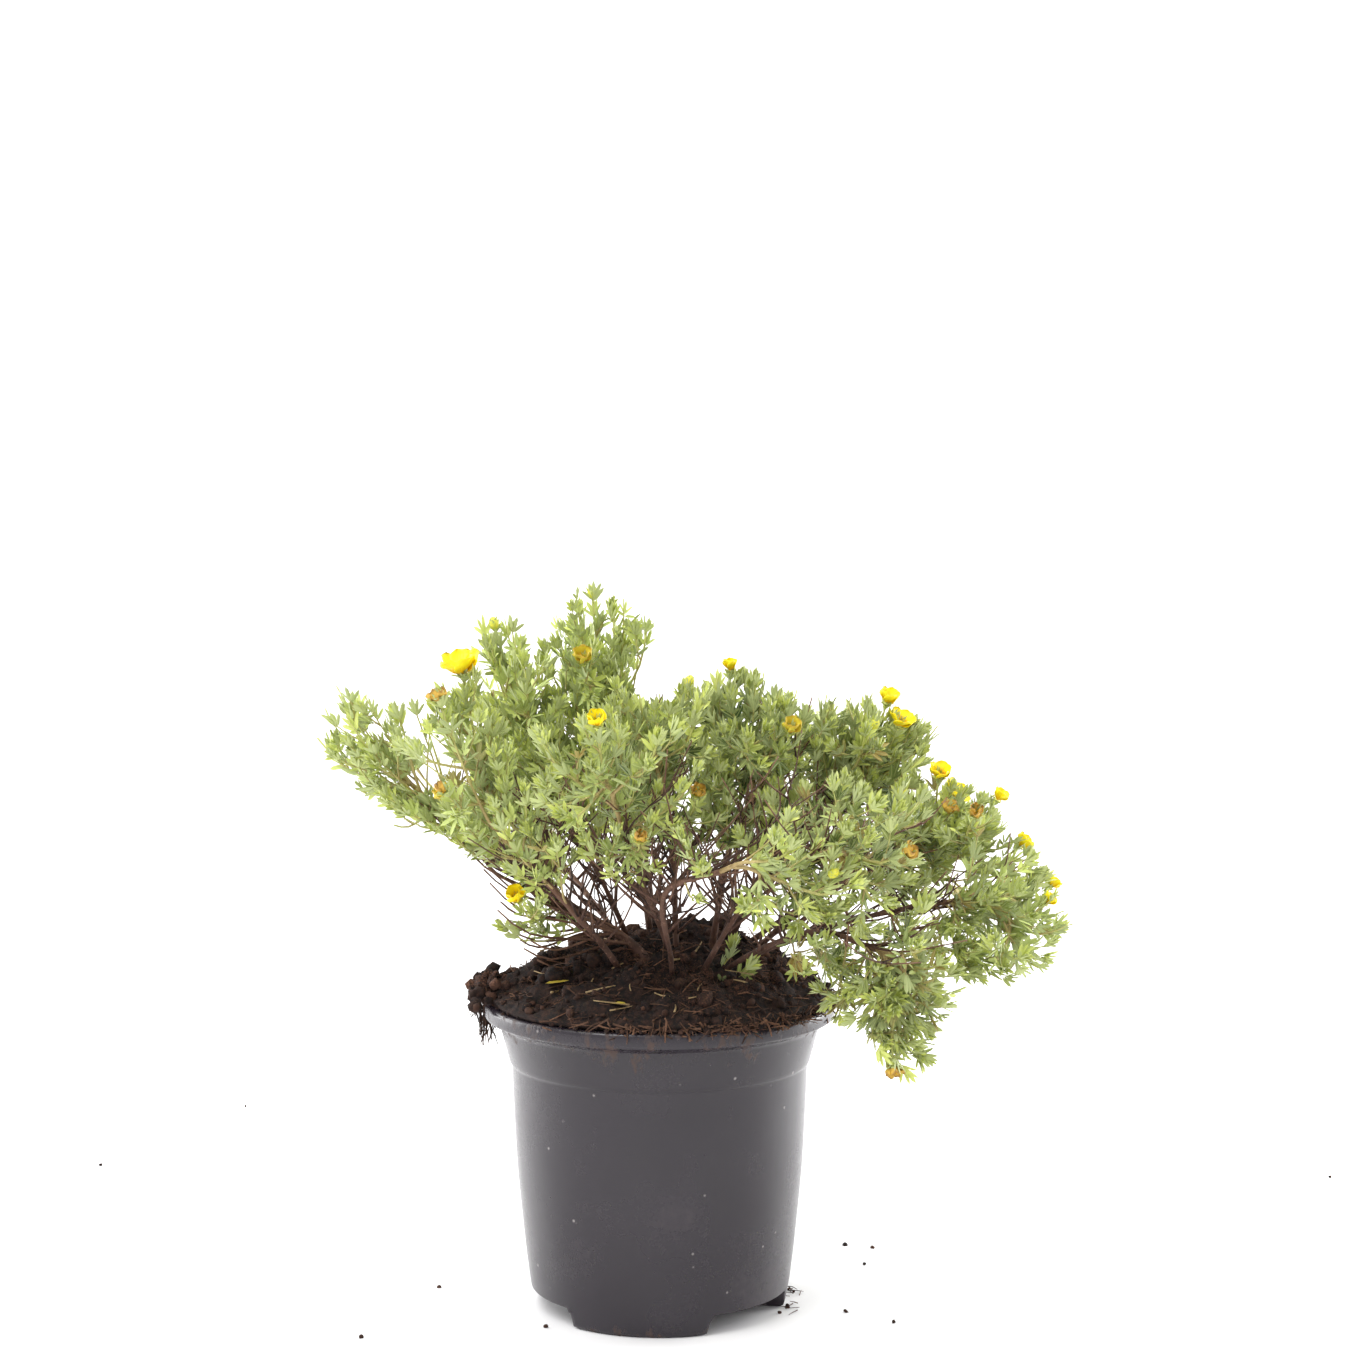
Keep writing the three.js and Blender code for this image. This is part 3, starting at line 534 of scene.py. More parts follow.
@dataclass(frozen=True)
class MouldedPolypropylene(Finish):
    """Injection-moulded black polypropylene: satin, faintly rippled, dusty from the potting bench."""

    name: str = "moulded_black_polypropylene"
    roughness: float = 0.27
    ior: float = 1.5
    fresh: str = "#1a141b"
    worn: str = "#272029"
    dust: str = "#5a5152"
    smear: str = "#4d382d"
    speck: str = "#8d8886"
    wear: Clouds = Clouds(38.0, 5.0)
    dust_grain: Clouds = Clouds(4.0, 9.0, 0.75)
    dust_shares: tuple[float, float] = (0.4, 0.6)  # of the fine grain and of the clouds of wear
    dusting: Ramp = Ramp(0.53, 0.78, 0.0, 0.3)
    collar: Ramp = Ramp(118.0 * MM, 141.0 * MM)
    heel: Ramp = Ramp(9.0 * MM, 2.0 * MM)
    blots: Clouds = Clouds(9.0, 8.0, 0.7, 0.5)
    blot_gain: tuple[float, float] = (0.15, -0.12)  # in the bands and everywhere
    smearing: Ramp = Ramp(0.56, 0.66, 0.0, 0.6)
    speck_mm: float = 9.0
    specks_left_out: float = 0.62
    speck_rim: Ramp = Ramp(0.04, 0.12, 0.7, 0.0)
    dull_roughness: float = 0.8
    scuffs: Clouds = Clouds(2.6, 3.0, 0.5, 0.08)
    ripples: Clouds = Clouds(22.0, 1.0)
    ripple_relief: Relief = Relief(0.25, 1.2)
    scuff_relief: Relief = Relief(0.12, 0.2)
    dirt_relief: Relief = Relief(0.5, 0.3)

    def paint(self, painter: Painter) -> Look:
        """Cloudy black with dust, smears below the lip and at the heel, pale specks and upright scuffs."""
        maths, mix, ramp = painter.maths, painter.mix, painter.ramp
        worn = painter.clouds(self.wear)
        body = mix(worn, self.fresh, self.worn)
        # Dust lies in thin clouds with a fine grain in them
        fine_share, cloud_share = self.dust_shares
        dusty = maths("MULTIPLY_ADD", painter.clouds(self.dust_grain), fine_share,
                      maths("MULTIPLY", worn, cloud_share))
        dusty = ramp(dusty, self.dusting)
        body = mix(dusty, body, self.dust)
        # Wet soil has run down from the rim and splashed the heel, and has dried there
        height = painter.add("SeparateXYZ", {0: painter.place}, "Z")
        band = maths("MAXIMUM", ramp(height, self.collar), ramp(height, self.heel))
        smeared = maths("ADD", maths("MULTIPLY_ADD", band, *self.blot_gain), painter.clouds(self.blots))
        smeared = ramp(smeared, self.smearing)
        body = mix(smeared, body, self.smear)
        # A few pale grains of lime and perlite stick to the wall
        cells = {"Vector": painter.place, "Scale": grain(self.speck_mm)}
        picked = maths("GREATER_THAN", painter.add("TexVoronoi", cells, "Color"), self.specks_left_out)
        dotted = maths("MULTIPLY", picked, ramp(painter.add("TexVoronoi", cells), self.speck_rim))
        body = mix(dotted, body, self.speck)
        # Dust and smears are duller than the bare plastic
        dull = maths("MAXIMUM", dusty, smeared)
        painter.feed(painter.shader.inputs["Roughness"],
                     ramp(dull, Ramp(0.0, 1.0, self.roughness, self.dull_roughness, smooth=False)))
        wavy = painter.bump(painter.clouds(self.ripples), self.ripple_relief)
        scored = painter.bump(painter.clouds(self.scuffs), self.scuff_relief, wavy)
        return body, painter.bump(dull, self.dirt_relief, scored)


@dataclass(frozen=True)
class FibrousPeat(Finish):
    """Damp peat compost: near black and crumbly, with reddish fibres that have dried paler."""

    name: str = "damp_fibrous_peat"
    roughness: float = 0.93
    ior: float = 1.4
    wet: str = "#100a0a"
    damp: str = "#36231c"
    dry: str = "#7a5442"
    crumb: Clouds = Clouds(3.2, 8.0, 0.7)
    grit: Clouds = Clouds(0.8, 4.0)
    patch: Clouds = Clouds(26.0, 2.0)
    damping: Ramp = Ramp(0.38, 0.66)
    drying: Ramp = Ramp(0.28, 0.46, 0.0, 0.55)
    tint_share: float = 0.85
    crumb_relief: Relief = Relief(0.8, 1.4)
    grit_relief: Relief = Relief(0.6, 0.5)

    def paint(self, painter: Painter) -> Look:
        """Dark crumbs, with paler ones where the tint attribute or a dry patch says so."""
        crumb, grit = painter.clouds(self.crumb), painter.clouds(self.grit)
        body = painter.mix(painter.ramp(crumb, self.damping), self.wet, self.damp)
        dried = painter.ramp(painter.maths("MULTIPLY", grit, painter.clouds(self.patch)), self.drying)
        dried = painter.maths("MULTIPLY_ADD", painter.own("tint"), self.tint_share, dried, use_clamp=True)
        body = painter.mix(dried, body, self.dry)
        return body, painter.bump(grit, self.grit_relief, painter.bump(crumb, self.crumb_relief))


@dataclass(frozen=True)
class ShreddingBark(Finish):
    """Cinquefoil bark: reddish brown, paler where it shreds in strips; young wood is purple-brown."""

    name: str = "shredding_cinquefoil_bark"
    roughness: float = 0.74
    ior: float = 1.45
    old: str = "#4d322a"
    strip: str = "#94705a"
    young: str = "#82604a"
    dark: str = "#241614"
    strips: Clouds = Clouds(1.1, 5.0, 0.6, 0.22)
    blotches: Clouds = Clouds(9.0)
    shading: Ramp = Ramp(0.4, 0.75, 0.0, 0.6)
    peeling: Ramp = Ramp(0.55, 0.68, 0.0, 0.7)
    relief: Relief = Relief(0.7, 0.4)

    def paint(self, painter: Painter) -> Look:
        """Long pale strips on dark bark, lighter or darker from limb to limb."""
        tint, shred = painter.own("tint"), painter.clouds(self.strips)
        wood = painter.mix(painter.own("age"), self.young, self.old)
        shade = painter.maths("MAXIMUM", painter.ramp(painter.clouds(self.blotches), self.shading), tint)
        wood = painter.mix(shade, wood, self.dark)
        peeled = painter.ramp(shred, self.peeling)
        peeled = painter.maths("MULTIPLY", peeled, painter.maths("SUBTRACT", 1.0, tint))
        return painter.mix(peeled, wood, self.strip), painter.bump(shred, self.relief)


@dataclass(frozen=True)
class SilkyLeaf(Finish):
    """Cinquefoil leaf: matt green with a sunken pale midrib, a greyer underside and a silky sheen."""

    name: str = "silky_cinquefoil_leaf"
    roughness: float = 0.5
    ior: float = 1.42
    young: str = "#d4dd74"
    grown: str = "#b6c674"
    shaded: str = "#304a1e"
    old: str = "#a98f4c"
    under: str = "#aab583"
    rib: str = "#c9cf8c"
    sheen: float = 0.08
    sheen_tint: str = "#f0f3da"
    blotches: Clouds = Clouds(14.0)
    freshness: Ramp = Ramp(0.5, 0.0, smooth=False)
    patchiness: Ramp = Ramp(0.4, 0.75, 0.0, 0.3, smooth=False)
    under_share: float = 0.7
    withering: Ramp = Ramp(0.75, 1.0, smooth=False)
    midrib: Ramp = Ramp(0.04, 0.14, 0.5, 0.0)
    vein_slant: float = -0.5
    vein_count: float = 7.0
    vein: Ramp = Ramp(0.8, 1.0, 0.0, 0.2, smooth=False)
    relief: Relief = Relief(0.5, 0.2)

    def paint(self, painter: Painter) -> Look:
        """Greens by the tint, from the shaded green, painted shade, to the grown green, painted light, and by
        age; veins by the blade map.

        The blade map's u runs from margin to margin over 0 to 1 on the upper side, and over 2 to 3 below.
        """
        maths, mix, ramp = painter.maths, painter.mix, painter.ramp
        age = painter.own("age")
        across, along = painter.blade()
        # The tint carries the branch's painted light and shade: a low tint paints the leaf in shade with the
        # shaded green, a high one paints it lit with the grown green
        green = mix(painter.own("tint"), self.shaded, self.grown)
        patchy = ramp(painter.clouds(self.blotches), self.patchiness)
        green = mix(maths("MAXIMUM", ramp(age, self.freshness), patchy), green, self.young)
        below = maths("GREATER_THAN", across, 1.5)
        green = mix(maths("MULTIPLY", below, self.under_share), green, self.under)
        green = mix(ramp(age, self.withering), green, self.old)
        # Side veins leave the midrib at a slant, so along minus half of across is the same all along one vein
        side = maths("ABSOLUTE", maths("SUBTRACT", maths("MODULO", across, 2.0), 0.5))
        slant = maths("MULTIPLY_ADD", side, self.vein_slant, along)
        wave = maths("COSINE", maths("MULTIPLY", slant, 2 * math.pi * self.vein_count))
        lines = maths("MAXIMUM", ramp(side, self.midrib), ramp(wave, self.vein))
        painter.feed(painter.shader.inputs["Sheen Weight"], self.sheen)
        painter.feed(painter.shader.inputs["Sheen Tint"], linear(self.sheen_tint))
        return mix(lines, green, self.rib), painter.bump(lines, self.relief, invert=True)


@dataclass(frozen=True)
class GreenShootSkin(Finish):
    """The skin of a young shoot: yellow-green at the tip, turning tan and brown towards the old wood."""

    name: str = "green_shoot_skin"
    roughness: float = 0.55
    ior: float = 1.42
    tip: str = "#b4ba6a"
    middle: str = "#bba672"
    root: str = "#936c4e"
    shade: str = "#5f4a35"
    streaks: Clouds = Clouds(1.4, 3.0, 0.5, 0.3)
    lower: Ramp = Ramp(0.0, 0.5, smooth=False)
    upper: Ramp = Ramp(0.5, 1.0, smooth=False)
    shading: Ramp = Ramp(0.4, 0.75, 0.0, 0.4, smooth=False)
    relief: Relief = Relief(0.3, 0.2)

    def paint(self, painter: Painter) -> Look:
        """Green to brown by age, with fine streaks along the shoot."""
        age, streak = painter.own("age"), painter.clouds(self.streaks)
        skin = painter.mix(painter.ramp(age, self.lower), self.tip, self.middle)
        skin = painter.mix(painter.ramp(age, self.upper), skin, self.root)
        skin = painter.mix(painter.ramp(streak, self.shading), skin, self.shade)
        return skin, painter.bump(streak, self.relief)


@dataclass(frozen=True)
class Petal(Finish):
    """A petal's waxy skin: one colour at the claw and another at the rim, with faint rays between."""

    name: str = "waxy_yellow_petal"
    roughness: float = 0.42
    ior: float = 1.4
    claw: str = "#eeb90c"
    rim: str = "#fdec1f"
    edge: str = "#f3d400"
    crumple: Clouds = Clouds(2.5, 4.0)
    body: Ramp = Ramp(0.05, 0.75)
    edge_wander: float = 0.45
    edging: Ramp = Ramp(0.95, 1.25, 0.0, 0.8)
    ray_count: float = 9.0
    ray_height: float = 0.25
    relief: Relief = Relief(0.35, 0.25)

    def paint(self, painter: Painter) -> Look:
        """Claw to rim along the blade map, with rays and a changed edge."""
        across, along = painter.blade()
        crumple = painter.clouds(self.crumple)
        colour = painter.mix(painter.ramp(along, self.body), self.claw, self.rim)
        outer = painter.maths("MULTIPLY_ADD", crumple, self.edge_wander, along)
        colour = painter.mix(painter.ramp(outer, self.edging), colour, self.edge)
        rays = painter.maths("SINE", painter.maths("MULTIPLY", across, 2 * math.pi * self.ray_count))
        height = painter.maths("MULTIPLY_ADD", rays, self.ray_height, crumple)
        return colour, painter.bump(height, self.relief)


@dataclass(frozen=True)
class Mottled(Finish):
    """A fine-grained natural or painted skin of two colours in small clouds."""

    first: str = "#ffffff"
    second: str = "#ffffff"
    cloud_mm: float = 1.0
    relief_mm: float = 0.1
    share: Ramp = Ramp(0.35, 0.6, smooth=False)

    def paint(self, painter: Painter) -> Look:
        """Two colours in clouds, slightly raised."""
        cloud = painter.clouds(Clouds(self.cloud_mm))
        colour = painter.mix(painter.ramp(cloud, self.share), self.first, self.second)
        return colour, painter.bump(cloud, Relief(0.4, self.relief_mm))


# Petals that have aged on the bush, dry straws, leaves that have dropped, pollen and the studio's paint
WILTED_PETAL = Petal(name="wilted_orange_petal", roughness=0.62, claw="#8f7234", rim="#d0aa48",
                     edge="#8c6636")
DULL_PETAL = Petal(name="ageing_yellow_petal", roughness=0.55, claw="#c3962a", rim="#d8c940", edge="#b9942f")
DRY_STRAW = GreenShootSkin(name="dry_straw", roughness=0.6, tip="#a88f68", middle="#94744f", root="#6f523b")
FALLEN_LEAF = SilkyLeaf(name="fallen_yellow_leaf", young="#d8c53b", grown="#c9b232", shaded="#b0902f",
                        under="#cdbb5a", rib="#a5842f")
POLLEN = Mottled(name="pollen_dusted_anther", roughness=0.8, ior=1.4, first="#d9c02c", second="#e3a41c",
                 cloud_mm=0.5)
BUD_SKIN = Mottled(name="yellow_green_bud_skin", ior=1.4, first="#c3ca55", second="#e4dc4c", cloud_mm=1.5)
PALE_SWEEP = Mottled(name="pale_painted_sweep", first="#fafafa", second="#f4f3f4", cloud_mm=300.0,
                     relief_mm=0.01)


# Mesh building


class Growth:
    """A mesh in the making, with the tint and age of each point and a blade map."""

    def __init__(self) -> None:
        """Start an empty mesh."""
        self.bm = bmesh.new()
        self.tint = self.bm.verts.layers.float.new("tint")
        self.age = self.bm.verts.layers.float.new("age")
        self.blade = self.bm.loops.layers.uv.new("blade")

    def mark(self, verts: list[bmesh.types.BMVert], tint: float, age: float) -> None:
        """Give points their tint and age."""
        for vert in verts:
            vert[self.tint] = tint
            vert[self.age] = age

    def stamp(self, template: bpy.types.Mesh, place: Matrix, tint: float, age: float) -> None:
        """Add a copy of a template mesh.

        Args:
            template: the shape, near the origin.
            place: where the copy goes.
            tint: its shade from 0 to 1; for a leaf, its branch's painted light and shade with a random
                spread, and at random for the rest.
            age: its age from 0 to 1.
        """
        copy = template.copy()
        copy.transform(place)
        for name, value in (("tint", tint), ("age", age)):
            copy.attributes[name].data.foreach_set("value", [value] * len(copy.vertices))
        self.bm.from_mesh(copy, face_normals=False, vertex_normals=False)
        bpy.data.meshes.remove(copy)

    def add(self, part: "Growth") -> None:
        """Add another mesh in the making, and free it."""
        mesh = part.template("part")
        self.bm.from_mesh(mesh)
        bpy.data.meshes.remove(mesh)

    def outward(self) -> None:
        """Turn the faces outwards and shade them smooth."""
        bmesh.ops.recalc_face_normals(self.bm, faces=self.bm.faces)
        for face in self.bm.faces:
            face.smooth = True

    def template(self, name: str) -> bpy.types.Mesh:
        """Keep the mesh as a template for stamping.

        Args:
            name: the template's name.

        Returns:
            The mesh.
        """
        mesh = bpy.data.meshes.new(name)
        self.bm.to_mesh(mesh)
        self.bm.free()
        return mesh

    def show(
        self,
        name: str,
        finishes: list[Finish],
        slot: str,
        replaces: tuple[str, ...] = (),
    ) -> bpy.types.Object:
        """Turn the mesh into a shown piece that rides on the plant.

        Args:
            name: the piece's name.
            finishes: its finishes, in the order of its face materials.
            slot: a material slot's name; it is not used.
            replaces: the CAD nodes that it stands for.

        Returns:
            The piece.
        """
        mesh = self.template(name)
        for finish in finishes:
            mesh.materials.append(finish.material())
        piece = bpy.data.objects.new(name, mesh)
        bpy.context.scene.collection.objects.link(piece)
        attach(piece, "root")
        if replaces:
            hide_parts(*replaces)
        mesh.calc_loop_triangles()
        logging.info("%s: %d triangles", name, len(mesh.loop_triangles))
        return piece


class Route:
    """A smooth line through a few points: a centripetal Catmull-Rom curve, as the CAD's limbs follow."""

    def __init__(self, knots: list[Vector], samples: int = 30) -> None:
        """Sample the curve.

        Args:
            knots: the points that it goes through.
            samples: how many straight stretches each span is cut into.
        """
        self.points = [knots[0].copy()]
        ends = [2 * knots[0] - knots[1], *knots, 2 * knots[-1] - knots[-2]]
        for before, start, end, after in zip(ends, ends[1:], ends[2:], ends[3:]):
            self.points += self._span(before, start, end, after, samples)
        self.reach = [0.0]
        for point, following in zip(self.points, self.points[1:]):
            self.reach.append(self.reach[-1] + (following - point).length)
        self.length = self.reach[-1]

    @staticmethod
    def _span(before: Vector, start: Vector, end: Vector, after: Vector, samples: int) -> Iterator[Vector]:
        """The points of one span, without its start."""
        first, middle, last = (math.sqrt(max((b - a).length, 1e-9))
                               for a, b in ((before, start), (start, end), (end, after)))
        leave = (start - before) / first - (end - before) / (first + middle) + (end - start) / middle
        arrive = (end - start) / middle - (after - start) / (middle + last) + (after - end) / last
        leave, arrive = leave * middle, arrive * middle
        for i in range(1, samples + 1):
            t = i / samples
            square, cube = t * t, t * t * t
            yield (start * (2 * cube - 3 * square + 1) + leave * (cube - 2 * square + t)
                   + end * (3 * square - 2 * cube) + arrive * (cube - square))

    def at(self, share: float) -> Vector:
        """The point at a share of the length."""
        target = min(1.0, max(0.0, share)) * self.length
        low, high = 0, len(self.reach) - 1
        while high - low > 1:
            middle = (low + high) // 2
            if self.reach[middle] <= target:
                low = middle
            else:
                high = middle
        stretch = max(self.reach[high] - self.reach[low], 1e-12)
        return self.points[low].lerp(self.points[high], (target - self.reach[low]) / stretch)

    def heading(self, share: float) -> Vector:
        """The unit direction at a share of the length."""
        share = min(1.0, max(0.0, share))
        ahead, behind = min(1.0, share + 0.01), max(0.0, share - 0.01)
        return (self.at(ahead) - self.at(behind)).normalized()


@dataclass
class Limb:
    """A round tapered limb that is swept along a route."""

    route: Route
    radii: tuple[float, float]
    sides: int = 5
    steps: int = 8
    tint: float = 0.0
    ages: tuple[float, float] = (1.0, 0.0)
    knobs: float = 0.0
    span: tuple[float, float] = (0.0, 1.0)

    def radius(self, share: float) -> float:
        """The limb's radius at a share of its length, knobs included."""
        root, tip = self.radii
        knob = self.knobs * noise.noise(self.route.at(share) * KNOB_SCALE)
        return (root + (tip - root) * share) * (1 + knob)

    def sweep(self, growth: Growth, material: int = 0) -> None:
        """Extrude the limb ring by ring.

        It grows in a small mesh of its own, because the time that a step takes goes with the mesh's size.

        Args:
            growth: the mesh that it is added to.
            material: the face material's number.
        """
        part = Growth()
        bm = part.bm
        first, last = self.span
        heading = self.route.heading(first)
        turn = heading.to_track_quat("Z", "Y")
        place = Matrix.LocRotScale(self.route.at(first), turn, Vector.Fill(3, self.radius(first)))
        made = bmesh.ops.create_circle(bm, cap_ends=True, segments=self.sides, radius=1, matrix=place)
        ring = made["verts"]
        part.mark(ring, self.tint, self.ages[0])
        face = ring[0].link_faces[0]
        for step in range(1, self.steps + 1):
            share = first + (last - first) * step / self.steps
            following = self.route.heading(share)
            turn = heading.rotation_difference(following) @ turn
            heading = following
            target = Matrix.LocRotScale(self.route.at(share), turn, Vector.Fill(3, self.radius(share)))
            grown = bmesh.ops.extrude_face_region(bm, geom=[face])["geom"]
            face = next(item for item in grown if isinstance(item, bmesh.types.BMFace))
            bmesh.ops.transform(bm, matrix=target @ place.inverted(), verts=face.verts)
            part.mark(face.verts, self.tint, self.ages[0] + (self.ages[1] - self.ages[0]) * step / self.steps)
            place = target
        for side in bm.faces:
            side.material_index = material
            side.smooth = True
        growth.add(part)


def facing(point: Vector, forward: Vector, up: Vector) -> Matrix:
    """The place of a shape that is made along +X with its face to +Z.

    Args:
        point: where its origin goes.
        forward: where its +X goes.
        up: what its +Z turns towards.

    Returns:
        The placing matrix.
    """
    forward = forward.normalized()
    sideways = up.cross(forward).normalized()
    normal = forward.cross(sideways)
    turn = Matrix((forward, sideways, normal)).transposed().to_4x4()
    return Matrix.Translation(point) @ turn


# The pot


@dataclass
class NurseryPot:
    """The moulded container: wall, collar, lip and a base that stands on three broad feet. Millimetres."""

    steps: int = 216
    foot_count: int = 3
    foot_width_deg: float = 62.0
    first_foot_deg: float = -100.0
    arch_height: float = 10.0
    arch_inner_radius: float = 22.0
    drain_radius: float = 5.0
    drain_at: float = 47.0
    drain_sides: int = 32
    drill_depth: float = 60.0
    ramp_deg: float = 3.4
    wall: float = 1.5
    weld: float = 0.01
    sharp_from_deg: float = 50.0
    outside: tuple[tuple[float, float], ...] = (
        (0, 0), (12, 0), (20.5, 0), (22, 0), (24, 0), (30, 0), (36, 0), (42, 0), (48, 0), (54, 0), (58.6, 0),
        (60.2, 0.3), (61.1, 1.1), (61.6, 2.6), (62.0, 5), (62.5, 7.5), (62.9, 9.7), (63.2, 11.6), (63.6, 14),
        (65.2, 26), (66.7, 40), (67.9, 52), (69.2, 66), (70.1, 80), (70.8, 95), (71.4, 108), (71.8, 118.6),
        (72.0, 119.6), (72.6, 120.3), (73.0, 121.0), (73.4, 122.4), (74.6, 127), (76.2, 133), (77.6, 138),
        (78.2, 139.4), (79.4, 140.4), (82.0, 141.6), (84.2, 142.5), (84.9, 143.3), (85.0, 144.4),
    )
    lip: tuple[tuple[float, float], ...] = (
        (85.0, 147.6), (84.8, 148.9), (84.1, 149.8), (83.0, 150.0), (81.0, 149.9), (79.6, 149.6),
        (78.8, 149.0),
    )
    inside: tuple[tuple[float, float], ...] = (
        (78.2, 146), (76.6, 139.5), (71.8, 121.5), (70.3, 119.5), (67.7, 66), (62.1, 14), (60.8, 7),
        (60.2, 4), (59.4, 2.2), (57, 1.5), (48, 1.5), (36, 1.5), (24, 1.5), (21, 1.5), (0, 1.5),
    )

    def arch(self, radius: float, angle_deg: float) -> float:
        """How far the base is lifted at a radius and an angle."""
        sector = 360 / self.foot_count
        from_foot = abs((angle_deg - self.first_foot_deg + sector / 2) % sector - sector / 2)
        half = self.foot_width_deg / 2
        turned = smoothstep(half, half + self.ramp_deg, from_foot)
        inward = smoothstep(self.arch_inner_radius - 1, self.arch_inner_radius + 1.5, radius)
        return self.arch_height * turned * inward

    def shell(self) -> Growth:
        """Spin the wall's section round the axis, and lift the base between the feet.

        Returns:
            The shell as a mesh in the making.
        """
        growth = Growth()
        bm = growth.bm
        section = (*self.outside, *self.lip, *self.inside)
        verts = [bm.verts.new((radius * MM, 0, height * MM)) for radius, height in section]
        # The tint tells the inside, which is lifted by the wall's thickness more
        growth.mark(verts[-len(self.inside):], 1.0, 0.0)
        edges = [bm.edges.new(pair) for pair in zip(verts, verts[1:])]
        bmesh.ops.spin(bm, geom=verts + edges, axis=UP, cent=(0, 0, 0), angle=2 * math.pi, steps=self.steps,
                       use_merge=True)
        for vert in bm.verts:
            angle = math.degrees(math.atan2(vert.co.y, vert.co.x))
            lift = self.arch(vert.co.xy.length / MM, angle) * MM
            floor = lift + (self.wall * MM if vert[growth.tint] > 0.5 else 0)
            vert.co.z = max(vert.co.z, floor) if lift > 0 else vert.co.z
        bmesh.ops.remove_doubles(bm, verts=bm.verts, dist=self.weld * MM)
        growth.outward()
        return growth

    def build(self) -> None:
        """Make the pot and drill its drain holes."""
        piece = self.shell().show("nursery_pot", [MouldedPolypropylene()], "pot", ("pot",))
        drills = Growth()
        sector = 360 / self.foot_count
        for i in range(self.foot_count):
            angle = math.radians(self.first_foot_deg + (i + 0.5) * sector)
            place = Matrix.Translation(Vector((math.cos(angle), math.sin(angle), 0)) * self.drain_at * MM)
            radius = self.drain_radius * MM
            bmesh.ops.create_cone(drills.bm, cap_ends=True, segments=self.drain_sides, radius1=radius,
                                  radius2=radius, depth=self.drill_depth * MM, matrix=place)
        drill = bpy.data.objects.new("drain_drill", drills.template("drain_drill"))
        bpy.context.scene.collection.objects.link(drill)
        cut = piece.modifiers.new("drain_holes", "BOOLEAN")
        cut.operation = "DIFFERENCE"
        cut.solver = "EXACT"
        cut.object = drill
        graph = bpy.context.evaluated_depsgraph_get()
        drilled = bpy.data.meshes.new_from_object(piece.evaluated_get(graph))
        piece.modifiers.clear()
        piece.data = drilled
        drilled.name = "nursery_pot"
        drilled.set_sharp_from_angle(angle=math.radians(self.sharp_from_deg))
        bpy.data.objects.remove(drill)


# The soil


def mound_radius(angle: float) -> float:
    """How far the heaped soil reaches from the axis at an angle, in millimetres."""
    spill = SPILL_REACH * math.exp(-(((angle - math.pi) / SPILL_SPREAD) ** 2))
    return MOUND_RADIUS + SPILL_RIPPLE * math.sin(5 * angle + 1) + spill


def soil_height(x: float, y: float) -> float:
    """The height of the heaped soil, all in millimetres."""
    angle = math.atan2(y, x) % (2 * math.pi)
    reach = min(1.0, math.hypot(x, y) / mound_radius(angle))
    clods = math.sin(x * 0.23 + 1) * math.cos(y * 0.19) + math.sin(x * 0.11 - y * 0.16 + 2)
    mound = MOUND_HEIGHT * (1 - reach ** 2.2)
    return POT_HEIGHT + GAP + SPILL_THICKNESS + mound + CLOD_HEIGHT / 2 * clods * (1 - reach ** 6)


def on_soil(x: float, y: float, above: float = 0.0) -> Vector:
    """A point on the soil below x and y, in metres, from millimetres."""
    return metres((x, y, soil_height(x, y) + above))


@dataclass(frozen=True)
class Fringe:
    """Fibres that hang over the rim at the left: how many, and the ranges they are drawn from.

    The turn from -X is in radians and the rest in millimetres. The turn and the lean are each a mean and a
    spread, the lean once along X and once along Y.
    """

    count: int
    turn: tuple[float, float]
    radius: tuple[float, float]
    drop: tuple[float, float]
    lean: tuple[tuple[float, float], tuple[float, float]]
    length: tuple[float, float]
    girth: tuple[float, float]


